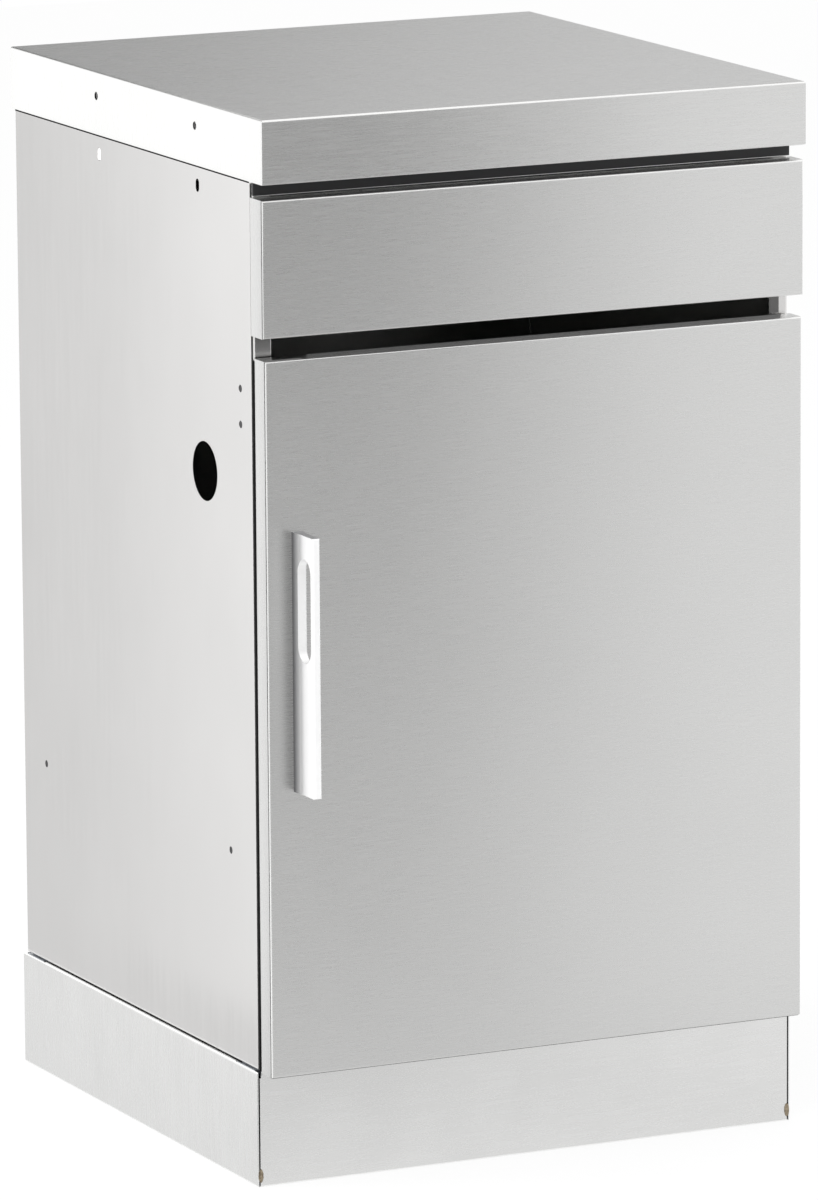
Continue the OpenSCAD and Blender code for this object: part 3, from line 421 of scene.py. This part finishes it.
# Moulded plastics and rubber: the tool's spark-eroded skin gives a fine dull texture
def mouldedSkin(name, colour, shade, roughness, grainSize, grainDepth, shine=0.5):
    material, tree, shader = startMaterial(name, colour, roughness)
    shader.inputs["Specular IOR Level"].default_value = shine
    place = addNode(tree, "ShaderNodeTexCoord")
    grain = addNode(tree, "ShaderNodeTexNoise", {
        "Vector": place.outputs["Object"], "Scale": 1 / (grainSize * mm), "Detail": 3.0})
    tone = addNode(tree, "ShaderNodeMix", {"Factor": grain.outputs[0], 6: linear(shade),
                                           7: linear(colour)}, data_type="RGBA")
    tree.links.new(tone.outputs[2], shader.inputs["Base Color"])
    addGrain(tree, shader, grain.outputs[0], roughness, 0.06, 0.06, grainDepth)
    return material


# Glass-filled polyamide of the feet: dark grey and the coarsest of the plastics
footPlastic = mouldedSkin("moulded_polyamide", "#2a2a2c", "#202022", roughness=0.5,
                          grainSize=0.6, grainDepth=0.02)
# Acetal of the catch and the worktop's trim: black with a slight sheen; on the trim, the black is
# painted shade
catchPlastic = mouldedSkin("moulded_pom", "#252527", "#1c1c1e", roughness=0.42,
                           grainSize=0.5, grainDepth=0.015)
# Black nylon of the shelf's push-in studs: a little duller
studPlastic = mouldedSkin("moulded_black_nylon", "#222224", "#1a1a1c", roughness=0.45,
                          grainSize=0.4, grainDepth=0.015)
# Undyed nylon of the hinge bushes: creamy, waxy and smooth
bushNylon = mouldedSkin("natural_nylon", "#e6e1d2", "#dcd6c4", roughness=0.38,
                        grainSize=0.5, grainDepth=0.01)
# White nylon of the slot's plug: clean white, waxy and smooth
plugNylon = mouldedSkin("white_nylon", "#fcfcfa", "#f5f5f3", roughness=0.4,
                        grainSize=0.5, grainDepth=0.01)
# EPDM rubber of strips, seals and bumpers: deep black with almost no shine. The strips under the
# skirt and the door, and the door's seal, also stand for painted shade
stopRubber = mouldedSkin("epdm_rubber", "#0c0c0c", "#080808", roughness=0.85,
                         grainSize=0.3, grainDepth=0.02, shine=0.1)
print("materials made")


# Worktop: one sheet folded down on all sides, with a lip under the front skirt

worktop = {"sheet": 1.2, "fold": 2, "lip": 14, "lipRelief": 1.6, "lipBury": 0.3, "lipFold": 1,
           "linkPlaces": (-109.3, 93.2), "linkHeight": 879.3, "linkRadius": 3.5,
           "studPlaces": (-155.5, 215.2), "studIn": 239, "studRadius": 3, "studLength": 11,
           "studChamfer": 0.5}

low, high = span("worktop")
top = addBlock("worktop_sheet", low, high)
openFaces(top, lambda centre, normal: normal.z < -0.9)
foldEdges(top, worktop["fold"], edgesAt(z=high[2]))
giveSheet(top, worktop["sheet"])
lip = addBlock("lip", (low[0] + worktop["lipRelief"], low[1] + worktop["lipBury"], low[2]),
               (high[0] - worktop["lipRelief"], low[1] + worktop["lip"],
                low[2] + worktop["sheet"]))
finishWith(top, "BOOLEAN", operation="UNION", solver="EXACT", object=lip)
bpy.data.objects.remove(lip)
foldEdges(top, worktop["lipFold"], edgesAt(y=low[1], z=low[2]), 4)
cutOut(top, [holeCutter((side * high[0], y, worktop["linkHeight"]), "x", worktop["linkRadius"])
             for side in (-1, 1) for y in worktop["linkPlaces"]])
easeEdges(top)
setDown(top, brushedSteel, "cabinet", "stainless_brushed", "worktop")

studs = []
studLow = high[2] - worktop["sheet"] - worktop["studLength"]
for side in (-1, 1):
    for y in worktop["studPlaces"]:
        stud = addRod("worktopStud", (side * worktop["studIn"], y, studLow), "z",
                      worktop["studRadius"], worktop["studLength"], 24)
        foldEdges(stud, worktop["studChamfer"], edgesAt(z=studLow), 1)
        studs.append(stud)
studs = joinAll(studs)
studs.name = "worktop_studs"
smoothFolds(studs)
setDown(studs, zincSteel, "cabinet", "hardware_steel", "worktop")
print("worktop made")


# Side panels: the wall, the column along the front with its lip, and the rear flange

sidePanel = {"sheet": 1, "fold": 2, "edgeFold": 3.6, "footFold": 1.1,
             "lipDepth": 15, "lipLow": 103.7, "lipHigh": 846.6,
             "slotHeight": 829.5, "slotLength": 11, "cable": (-118.4, 591, 25),
             "shelfHoles": ((-162.7, 277.3), (224.9, 277.3)), "shelfRadius": 3.1,
             "catchHoles": ((-191.1, 641.5), (-191.1, 671.5)),
             "boltPlaces": (-204.5, 266.2), "boltRadius": 3.2, "screwRadius": 2.05,
             "screwHeights": (142.5, 313.8, 485.2, 656.5, 827.8),
             "hinges": (148.1, 650.5), "hingeIn": 240, "hingeSlot": (10.4, 3.4),
             "hingeScrew": 13}

low, high = span("side_panel_right")
inner, wall = low[0], high[0]
panel = addBlock("side_panel_shell", low, high)
openFaces(panel, lambda centre, normal: normal.x < -0.9)
foldEdges(panel, sidePanel["edgeFold"], edgesAt(along="z", x=wall))
foldEdges(panel, sidePanel["footFold"], edgesAt(along="y", x=wall, z=low[2]))
for height in (sidePanel["lipLow"], sidePanel["lipHigh"]):
    splitAt(panel, (0, 0, height * mm), (0, 0, 1))


# the column's inner edge, between the heights where the lip starts and ends
def onLip(start, end):
    middle = (start.z + end.z) / 2 / mm
    return (edgesAt(x=inner, y=low[1])(start, end)
            and sidePanel["lipLow"] < middle < sidePanel["lipHigh"])


pick(panel, "EDGE", onLip)
bpy.ops.mesh.extrude_region_move(
    TRANSFORM_OT_translate={"value": (0, sidePanel["lipDepth"] * mm, 0)})
leaveEdit()
foldEdges(panel, sidePanel["fold"], onLip)
giveSheet(panel, sidePanel["sheet"])

cutters = []
halfWide, halfTall = worktop["linkRadius"], sidePanel["slotLength"] / 2
slotHeight = sidePanel["slotHeight"]
for y in worktop["linkPlaces"]:
    cutters.append(holeCutter((wall, y, worktop["linkHeight"]), "x", worktop["linkRadius"]))
    cutters.append(addSlot("cutter", (wall - reach, y - halfWide, slotHeight - halfTall),
                           (wall + reach, y + halfWide, slotHeight + halfTall), "x"))
for y, z in sidePanel["shelfHoles"]:
    cutters.append(holeCutter((wall, y, z), "x", sidePanel["shelfRadius"]))
y, z, radius = sidePanel["cable"]
cutters.append(holeCutter((wall, y, z), "x", radius, 96))
for y in worktop["studPlaces"]:
    cutters.append(holeCutter((worktop["studIn"], y, high[2]), "z", sidePanel["boltRadius"], 32))
for y in sidePanel["boltPlaces"]:
    cutters.append(holeCutter((worktop["studIn"], y, low[2]), "z", sidePanel["boltRadius"], 32))
for z in sidePanel["screwHeights"]:
    cutters.append(holeCutter((worktop["studIn"], high[1], z), "y", sidePanel["screwRadius"], 24))
cutOut(panel, cutters)

# the left panel has the catch's holes, and the right panel has the hinges' openings
panelLeft = mirrored(panel, "side_panel_left_sheet", "x")
cutOut(panelLeft, [holeCutter((-wall, y, z), "x", sidePanel["shelfRadius"])
                   for y, z in sidePanel["catchHoles"]])
cutters = []
hingeIn = sidePanel["hingeIn"]
for z in sidePanel["hinges"]:
    wide, tall = sidePanel["hingeSlot"]
    cutters.append(addBlock("cutter", (hingeIn - wide / 2, low[1] - reach, z - tall / 2),
                            (hingeIn + wide / 2, low[1] + reach, z + tall / 2)))
    for way in (-1, 1):
        cutters.append(holeCutter((hingeIn, low[1], z + way * sidePanel["hingeScrew"]), "y",
                                  sidePanel["screwRadius"], 24))
panelRight = panel
panelRight.name = panelRight.data.name = "side_panel_right_sheet"
cutOut(panelRight, cutters)
for piece, node in ((panelLeft, "side_panel_left"), (panelRight, "side_panel_right")):
    easeEdges(piece)
    setDown(piece, wallSteel, "cabinet", "stainless_brushed", node)

# the rear left slot holds a white plug, set back a little in its hole
plug = {"gap": 0.25, "depth": 4, "round": 0.3}

y, gap = worktop["linkPlaces"][1], plug["gap"]
slotPlug = addSlot("link_slot_plug",
                   (-wall + gap, y - halfWide + gap, slotHeight - halfTall + gap),
                   (-wall + plug["depth"], y + halfWide - gap, slotHeight + halfTall - gap), "x")
foldEdges(slotPlug, plug["round"], edgesAt(x=-wall + gap), 2)
smoothFolds(slotPlug)
setDown(slotPlug, plugNylon, "cabinet", "bush_nylon")

# black rubber strips between the worktop's skirt and the side panels: painted shade, the dark
# shadow line under the skirt
shadeStrips = {"width": 0.75, "clear": 0.02, "low": 844.7, "high": 858, "end": 4, "round": 0.3}

for name, side in (("worktop_shade_strip_left", -1), ("worktop_shade_strip_right", 1)):
    start, end = sorted((side * (wall + shadeStrips["clear"]), side * (wall + shadeStrips["width"])))
    shadeStrip = addBlock(name, (start, low[1] + shadeStrips["end"], shadeStrips["low"]),
                     (end, high[1] - shadeStrips["end"], shadeStrips["high"]))
    foldEdges(shadeStrip, shadeStrips["round"],
              edgesAt(along="y", x=side * (wall + shadeStrips["width"]), z=shadeStrips["low"]), 3)
    smoothFolds(shadeStrip)
    setDown(shadeStrip, stopRubber, "cabinet", "stop_rubber")

# dark moulding with a bright lower edge, which closes the gap over the drawer; its black is
# painted shade for the dark gap
gapShadeTrim = {"half": 247.2, "depth": 3, "clear": 0.05, "low": 834.8, "high": 846.3, "round": 0.4,
        "edgeDrop": 0.5, "edgeOut": 0.3, "edgeRound": 0.15}

half, front, back = gapShadeTrim["half"], low[1] - gapShadeTrim["depth"], low[1] - gapShadeTrim["clear"]
gapShade = addBlock("worktop_gap_shade_trim", (-half, front, gapShadeTrim["low"]), (half, back, gapShadeTrim["high"]))
foldEdges(gapShade, gapShadeTrim["round"], edgesAt(along="x", y=front), 4)
smoothFolds(gapShade)
setDown(gapShade, catchPlastic, "cabinet", "catch_plastic")
front -= gapShadeTrim["edgeOut"]
edge = addBlock("worktop_trim_edge", (-half, front, gapShadeTrim["low"] - gapShadeTrim["edgeDrop"]),
                (half, back, gapShadeTrim["low"]))
foldEdges(edge, gapShadeTrim["edgeRound"], edgesAt(along="x", y=front), 2)
smoothFolds(edge)
setDown(edge, brushedSteel, "cabinet", "stainless_brushed")
print("side panels made")


# Drawer front and door: sheets folded back on all sides, open behind

fronts = {"sheet": 1, "fold": 2, "notchFront": 2.45, "notchIn": 14, "notchHalf": 2, "notchOut": 2,
          "handleIn": -220.5, "screwRadius": 2.45, "screwHeights": (352.6, 544.6)}


def foldedFront(name, node):
    low, high = span(node)
    piece = addBlock(name, low, high)
    openFaces(piece, lambda centre, normal: normal.y > 0.9)
    foldEdges(piece, fronts["fold"], edgesAt(y=low[1]))
    giveSheet(piece, fronts["sheet"])
    return piece


drawerFront = foldedFront("drawer_front_sheet", "drawer_front")
easeEdges(drawerFront)
setDown(drawerFront, brushedSteel, "drawer", "stainless_brushed", "drawer_front")

# the door has holes for the handle's screws, and notches where the hinge arms go in
door = foldedFront("door_sheet", "door_skin")
low, high = span("door_skin")
cutters = [holeCutter((fronts["handleIn"], low[1], z), "y", fronts["screwRadius"], 24)
           for z in fronts["screwHeights"]]
for z in sidePanel["hinges"]:
    cutters.append(addBlock("cutter", (high[0] - fronts["notchIn"], low[1] + fronts["notchFront"],
                                       z - fronts["notchHalf"]),
                            (high[0] + fronts["notchOut"], high[1] + fronts["notchOut"],
                             z + fronts["notchHalf"])))
cutOut(door, cutters)
easeEdges(door)
setDown(door, brushedSteel, "door", "stainless_brushed", "door_skin")

# black rubber strip behind the door's left edge that closes on the column; it also paints the dark
# shade in the gap there
doorSealAndShade = {"out": 0.12, "width": 3.7, "lap": 1, "depth": 3.35, "end": 2, "round": 0.6}

left, back = low[0] - doorSealAndShade["out"], high[1] + doorSealAndShade["depth"]
seal = addBlock("door_seal_and_shade", (left, high[1] - doorSealAndShade["lap"], low[2] + doorSealAndShade["end"]),
                (left + doorSealAndShade["width"], back, high[2] - doorSealAndShade["end"]))
foldEdges(seal, doorSealAndShade["round"], edgesAt(along="z", y=back), 4)
smoothFolds(seal)
setDown(seal, stopRubber, "door", "stop_rubber")

# black strip in the door's lower edge: painted shade, the dark line under the door
doorShadeStrip = {"in": 2.1, "backIn": 0.5, "drop": 0.5, "bury": 0.02, "end": 1.5, "round": 0.3}

under = low[2] - doorShadeStrip["drop"]
shadeUnderDoor = addBlock("door_shade_strip", (low[0] + doorShadeStrip["end"], low[1] + doorShadeStrip["in"], under),
                (high[0] - doorShadeStrip["end"], high[1] - doorShadeStrip["backIn"],
                 low[2] + doorShadeStrip["bury"]))
foldEdges(shadeUnderDoor, doorShadeStrip["round"], edgesAt(along="x", z=under), 2)
smoothFolds(shadeUnderDoor)
setDown(shadeUnderDoor, stopRubber, "door", "stop_rubber")
print("drawer front and door made")


# Handle: an extruded blade on a foot with hollow sides, with a slot for the fingers

handle = {"bladeHalf": 3.5, "footOut": 1.4, "hollow": 12, "edge": 1.6, "slot": (-273, -249),
          "slotHeight": (451, 538), "steps": 8, "screwDepth": 12, "past": 10,
          "grooveStart": 1.9, "grooveWidth": 0.45, "grooveDepth": 0.25}

low, high = span("door_handle")
middle, foot = (low[0] + high[0]) / 2, high[1]
half, hollow, past = handle["bladeHalf"], handle["hollow"], handle["past"]
blade = addBlock("handle_blade", (middle - half, low[1], low[2]), (middle + half, foot, high[2]))

# the foot spreads along an arc, slice by slice, up to the edge that lies on the door
rise = math.sqrt(hollow ** 2 - (hollow - handle["footOut"]) ** 2)
slices = [foot - hollow + rise * step / handle["steps"] for step in range(handle["steps"] + 1)]
for y in slices:
    splitAt(blade, (0, y * mm, 0), (0, 1, 0))
for y in slices + [foot]:
    depth = min(hollow - (foot - y), rise)
    spread = hollow - math.sqrt(hollow ** 2 - depth ** 2)
    pick(blade, "VERT", lambda point: at(point.y, y))
    bpy.ops.transform.resize(value=((half + spread) / half, 1, 1),
                             center_override=(middle * mm, 0, 0))
    leaveEdit()
foldEdges(blade, handle["edge"], edgesAt(y=low[1]), 6)

cutters = [addSlot("cutter", (middle - past, handle["slot"][0], handle["slotHeight"][0]),
                   (middle + past, handle["slot"][1], handle["slotHeight"][1]), "x", 16)]
for z in fronts["screwHeights"]:
    cutters.append(addRod("cutter", (middle, foot - handle["screwDepth"], z), "y",
                          fronts["screwRadius"], handle["screwDepth"] + past, 24))
cutOut(blade, cutters)
start, left = low[1] + handle["grooveStart"], middle - half
cutOut(blade, [addBlock("cutter", (left - past, start, low[2] - past),
                        (left + handle["grooveDepth"], start + handle["grooveWidth"],
                         high[2] + past))])
easeEdges(blade, steps=2, limit=40)
setDown(blade, handleAluminium, "door", "handle_aluminium", "door_handle")
blade.visible_glossy = False  # handle_card stands for the handle in the door's reflection
print("handle made")


# Plinth: four boards with lips folded in at the top and bottom, cut back at the corners

plinth = {"sheet": 1, "fold": 3, "footFold": 0.9, "cutBack": 45, "lipReach": 20, "clear": 0.01,
          "notchWidth": 1.3, "notchDepth": 6}


# facing is the outward direction of the board's face, in x and y
def plinthBoard(name, node, facing):
    low, high = span(node)
    piece = addBlock(name, low, high)
    along = 1 if facing[0] else 0
    across = 1 - along
    openFaces(piece, lambda centre, normal: normal[across] * facing[across] < -0.9
              or abs(normal[along]) > 0.9)
    face = (high if facing[across] > 0 else low)[across]
    for height, radius in ((high[2], plinth["fold"]), (low[2], plinth["footFold"])):
        foldEdges(piece, radius, edgesAt(z=height, **{"xy"[across]: face}))
    giveSheet(piece, plinth["sheet"])
    cutters, notches = [], []
    for end, way in ((low[along], -1), (high[along], 1)):
        past = end + way * reach
        near, far = [0, 0, low[2] - reach], [0, 0, high[2] + reach]
        near[along], far[along] = sorted((past, end - way * plinth["cutBack"]))
        near[across], far[across] = sorted(face - facing[across] * inward for inward in (
            plinth["sheet"] + plinth["clear"], plinth["lipReach"]))
        cutters.append(addBlock("cutter", near, far))
        if along == 0:
            near = [0, face - reach, high[2] - plinth["notchDepth"]]
            far = [0, face + reach, high[2] + reach]
            near[0], far[0] = sorted((past, end - way * plinth["notchWidth"]))
            notches.append(addBlock("cutter", near, far))
    cutOut(piece, cutters)
    if notches:
        cutOut(piece, notches)
    return piece


for name, node, facing in (("plinth_front_board", "plinth_front", (0, -1)),
                           ("plinth_back_board", "plinth_back", (0, 1)),
                           ("plinth_left_board", "plinth_left", (-1, 0)),
                           ("plinth_right_board", "plinth_right", (1, 0))):
    board = plinthBoard(name, node, facing)
    easeEdges(board)
    setDown(board, plinthSteel, "cabinet", "stainless_plinth", node)

# a tack weld low in the seam at each front corner
tackWeld = {"place": (247.5, -215.1, 9.5), "radii": (2.2, 2.7, 5.9), "wrinkle": 0.45,
            "smoothing": 0.4, "seed": 4}

for name, side in (("plinth_tack_weld_left", -1), ("plinth_tack_weld_right", 1)):
    deselectAll()
    x, y, z = tackWeld["place"]
    bpy.ops.mesh.primitive_ico_sphere_add(subdivisions=4, radius=mm,
                                          location=(side * x * mm, y * mm, z * mm))
    bead = bpy.context.object
    bead.name = bead.data.name = name
    bead.scale = tackWeld["radii"]
    bpy.ops.object.transform_apply(location=True, rotation=False, scale=True)
    pick(bead, "VERT", lambda point: True)
    bpy.ops.transform.vertex_random(offset=tackWeld["wrinkle"] * mm,
                                    seed=tackWeld["seed"] + side)
    bpy.ops.mesh.vertices_smooth(factor=tackWeld["smoothing"])
    leaveEdit()
    activate(bead)
    bpy.ops.object.shade_smooth()
    setDown(bead, weldMetal, "cabinet", "stainless_plinth")
print("plinth made")


# Finishes of the parts that are used as the CAD made them

finishes = [
    (brushedSteel, ["shelf"]),
    (millSteel, ["back_panel", "base_panel", "front_rail", "rear_rail", "worktop_rib_front",
                 "worktop_rib_rear", "door_liner", "drawer_front_liner"]),
    (plinthSteel, ["drawer_tray", "drawer_box_front", "drawer_box_back"]),
    (runnerZinc, ["runner_outer_left", "runner_outer_right", "runner_middle_left",
                  "runner_middle_right", "runner_inner_left", "runner_inner_right",
                  "hinge_pins"]),
    (zincSteel, ["worktop_nuts", "back_panel_screws", "foot_nuts", "base_bolts",
                 "corner_bracket_front_left", "corner_bracket_front_right",
                 "corner_bracket_rear_left", "corner_bracket_rear_right",
                 "hinge_bracket_lower", "hinge_bracket_upper", "hinge_screws",
                 "runner_bracket_left", "runner_bracket_right", "runner_screws",
                 "drawer_runner_screws", "drawer_front_screws", "handle_screws",
                 "handle_spacers", "hinge_cage_lower", "hinge_cage_upper", "strike_plate"]),
    (footPlastic, ["foot_front_left", "foot_front_right", "foot_rear_left", "foot_rear_right"]),
    (catchPlastic, ["catch_body"]),
    (studPlastic, ["shelf_rivets"]),
    (ferrite, ["catch_magnet"]),
    (bushNylon, ["hinge_bushes"]),
    (stopRubber, ["drawer_bumpers", "door_bumpers"]),
]
for material, names in finishes:
    for name in names:
        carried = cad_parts[name]
        if not carried.material_slots:
            carried.data.materials.append(material)
        for slot in carried.material_slots:
            slot.material = material
print("carried-over parts finished")


# Floor, light and camera

# floorGlow is the share of plain white in the floor's look, and worldShine is what the world
# gains where a mirror or a metal shows it
studio = {"floorSize": 14000, "floorColour": "#f4f4f4", "floorGlow": 0.82,
          "shadeColour": "#6a6a6a", "shadeHeight": 0.3, "shadeInset": 1.3,
          "worldLight": 1.0, "worldShine": 0.25}


def addPlane(name, size, paint, location=(0, 0, 0)):
    deselectAll()
    bpy.ops.mesh.primitive_plane_add(size=size, location=location)
    plane = bpy.context.object
    plane.name = name
    plane.data.materials.append(paint)
    plane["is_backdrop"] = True
    return plane


def startPaint(name):
    paint = bpy.data.materials.new(name)
    paint.use_nodes = True
    paint.node_tree.nodes.clear()
    return paint, paint.node_tree


# 1 where the camera, a mirror or a glass looks, and 0 where light falls on the object
def addLook(tree, rays):
    seen = addNode(tree, "ShaderNodeMath", {0: rays.outputs["Is Camera Ray"],
                                            1: rays.outputs["Is Glossy Ray"]},
                   operation="MAXIMUM")
    return addNode(tree, "ShaderNodeMath", {0: seen.outputs[0],
                                            1: rays.outputs["Is Transmission Ray"]},
                   operation="MAXIMUM")


# the floor looks white and keeps the object's shadow
floorPaint, tree = startPaint("white_floor_paint")
seen = addLook(tree, addNode(tree, "ShaderNodeLightPath"))
matt = addNode(tree, "ShaderNodeBsdfDiffuse", {"Color": linear(studio["floorColour"])})
glow = addNode(tree, "ShaderNodeEmission", {"Color": (1, 1, 1, 1), "Strength": 1.0})
shown = addNode(tree, "ShaderNodeMixShader", {0: studio["floorGlow"], 1: matt.outputs[0],
                                              2: glow.outputs[0]})
pale = addNode(tree, "ShaderNodeMixShader", {0: seen.outputs[0], 1: matt.outputs[0],
                                             2: shown.outputs[0]})
addNode(tree, "ShaderNodeOutputMaterial", {"Surface": pale.outputs[0]})
addPlane("studio_floor", studio["floorSize"] * mm, floorPaint)

# the floor inside the plinth gets no light
shadePaint, tree = startPaint("shaded_floor_paint")
matt = addNode(tree, "ShaderNodeBsdfDiffuse", {"Color": linear(studio["shadeColour"])})
addNode(tree, "ShaderNodeOutputMaterial", {"Surface": matt.outputs[0]})
low, high = span("plinth_left")[0], span("plinth_right")[1]
shade = addPlane("studio_floor_shade", 1, shadePaint,
                 (0, (low[1] + high[1]) / 2 * mm, studio["shadeHeight"] * mm))
inset = 2 * studio["shadeInset"]
shade.scale = ((high[0] - low[0] - inset) * mm, (high[1] - low[1] - inset) * mm, 1)

# the world is white where it is seen, and a little brighter in the metal
world = bpy.data.worlds.new("studio_world")
world.use_nodes = True
scene.world = world
tree = world.node_tree
tree.nodes.clear()
rays = addNode(tree, "ShaderNodeLightPath")
seen = addLook(tree, rays)
level = addNode(tree, "ShaderNodeMapRange", {"Value": seen.outputs[0],
                                             "To Min": studio["worldLight"], "To Max": 1.0})
level = addNode(tree, "ShaderNodeMath", {0: rays.outputs["Is Glossy Ray"],
                                         1: studio["worldShine"], 2: level.outputs[0]},
                operation="MULTIPLY_ADD")
sky = addNode(tree, "ShaderNodeBackground", {"Color": (1, 1, 1, 1), "Strength": level.outputs[0]})
addNode(tree, "ShaderNodeOutputWorld", {"Surface": sky.outputs[0]})

# each lamp's place, the point that it lights, its size and its power in watts; the lamps
# themselves aren't seen, and the metal doesn't show them
lamps = {"overhead_softbox": ((-800, -1600, 3200), (0, 0, 500), (2200, 2200), 50),
         "left_softbox": ((-3000, 1600, 1400), (0, 0, 400), (2000, 1800), 60)}

for name, (place, target, size, power) in lamps.items():
    lamp = bpy.data.lights.new(name, "AREA")
    lamp.shape = "RECTANGLE"
    lamp.size, lamp.size_y = size[0] * mm, size[1] * mm
    lamp.energy = power
    holder = bpy.data.objects.new(name, lamp)
    scene.collection.objects.link(holder)
    holder.location = Vector(place) * mm
    aim = Vector(target) - Vector(place)
    holder.rotation_euler = aim.to_track_quat("-Z", "Y").to_euler()
    holder.visible_camera = False
    holder.visible_glossy = False

# Cards that show only in the metal. Each has its first corner, the corner along from it and the
# corner above it, then the brightness at the start and end of its lower and of its upper edge,
# and the shares of the way along at which the brightness starts and stops changing.
cards = {
    # the dark left and pale right of the fronts, and the floor before them
    "front_card": ((-260, -700, 0), (1000, -700, 0), (-260, -700, 1000),
                   ((0.60, 0.84), (0.32, 0.84)), (0.22, 0.56)),
    "low_card": ((-260, -700, 1), (1000, -700, 1), (-260, -216, 1),
                 ((0.60, 0.80), (0.77, 0.77)), (0.1, 0.6)),
    "corner_card": ((-1600, -1200, 1), (-260, -1200, 1), (-1600, -216, 1),
                    ((1.3, 1.3), (1.3, 1.3)), (0, 1)),
    # the floor and the wall beside the left side
    "left_low_card": ((-700, -216, 1), (-250.5, -216, 1), (-700, 1200, 1),
                      ((0.79, 0.79), (0.79, 0.79)), (0, 1)),
    "side_card": ((-500, 50, 0), (-500, 1600, 0), (-500, 50, 765),
                  ((1.0, 0.78), (1.14, 0.80)), (0.02, 0.55)),
    "side_crown": ((-500, 50, 765), (-500, 1600, 765), (-500, 50, 1300),
                   ((1.14, 0.80), (1.24, 0.81)), (0.02, 0.55)),
    # the white that the worktop's left skirt and the rounded top of the left plinth show
    "skirt_card": ((-256, -236, 843.5), (-256, 300, 843.5), (-256, -236, 905),
                   ((1.25, 1.25), (1.25, 1.25)), (0, 1)),
    "plinth_card": ((-253, -214, 98.5), (-253, 300, 98.5), (-250, -214, 99.8),
                    ((1.3, 1.3), (1.3, 1.3)), (0, 1)),
    # the dark line in the left side's front fold
    "edge_flag": ((-285, -238.5, 0), (-285, -192, 0), (-285, -238.5, 898),
                  ((0.05, 0.05), (0.05, 0.05)), (0, 1)),
    # the grey of the worktop, darker towards the left
    "top_card": ((-1200, 1600, 950), (2000, 1600, 950), (-1200, 1600, 2200),
                 ((0.20, 0.61), (0.20, 0.61)), (0.3, 0.8)),
    # the shade in the gap over the door, and the light on the door's upper flange
    "gap_flag": ((-247.8, -230, 701.5), (-210, -230, 701.5), (-247.8, -230, 718),
                 ((0.22, 0.22), (0.08, 0.08)), (0, 1)),
    "gap_glow": ((-200, -217.5, 700.8), (240, -217.5, 700.8), (-200, -217.5, 718.5),
                 ((0.10, 0.14), (0.10, 0.14)), (0, 1)),
    # the handle's flank as the door shows it
    "handle_card": ((-224, -277, 340), (-224, -241, 340), (-224, -277, 557),
                    ((0.62, 0.26), (0.62, 0.26)), (0.1, 0.75)),
}

for name, (first, along, above, levels, rise) in cards.items():
    paint, tree = startPaint(name + "_paint")
    where = addNode(tree, "ShaderNodeUVMap")
    part = addNode(tree, "ShaderNodeSeparateXYZ", {0: where.outputs[0]})
    rows = [addNode(tree, "ShaderNodeMapRange", {
        "Value": part.outputs["X"], "From Min": rise[0], "From Max": rise[1], "To Min": start,
        "To Max": end}, interpolation_type="SMOOTHSTEP") for start, end in levels]
    run = addNode(tree, "ShaderNodeMix", {"Factor": part.outputs["Y"], 2: rows[0].outputs[0],
                                          3: rows[1].outputs[0]}, data_type="FLOAT")
    glow = addNode(tree, "ShaderNodeEmission", {"Strength": run.outputs[0]})
    addNode(tree, "ShaderNodeOutputMaterial", {"Surface": glow.outputs[0]})
    card = addPlane(name, 1, paint)
    first, along, above = [Vector(corner) for corner in (first, along, above)]
    for vertex, corner in zip(card.data.vertices, (first, along, above, along + above - first)):
        vertex.co = corner * mm
    for kind in ("camera", "diffuse", "shadow", "transmission", "volume_scatter"):
        setattr(card, "visible_" + kind, False)

# the camera's place and reach in metres, its roll in degrees, and its lens in millimetres
view = {"place": (-3.31413, -6.94651, 1.93792), "forward": (0.42217, 0.88613, -0.19115),
        "roll": -0.386, "lens": 274.61, "sensor": 36, "clipEnd": 100}

camera = bpy.data.cameras.new("photo_camera")
camera.lens = view["lens"]
camera.sensor_width = view["sensor"]
camera.clip_end = view["clipEnd"]
holder = bpy.data.objects.new("photo_camera", camera)
scene.collection.objects.link(holder)
forward = Vector(view["forward"]).normalized()
right = forward.cross(Vector((0, 0, 1))).normalized()
up = right.cross(forward)
turn = math.radians(view["roll"])
right, up = (right * math.cos(turn) + up * math.sin(turn),
             up * math.cos(turn) - right * math.sin(turn))
holder.matrix_world = Matrix.Translation(view["place"]) @ Matrix(
    (right, up, -forward)).transposed().to_4x4()
scene.camera = holder
scene.view_settings.view_transform = "Standard"
print("studio and camera made")

low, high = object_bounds()
{"cad": [list(cadLow), list(cadHigh)], "visual": [list(low), list(high)]}
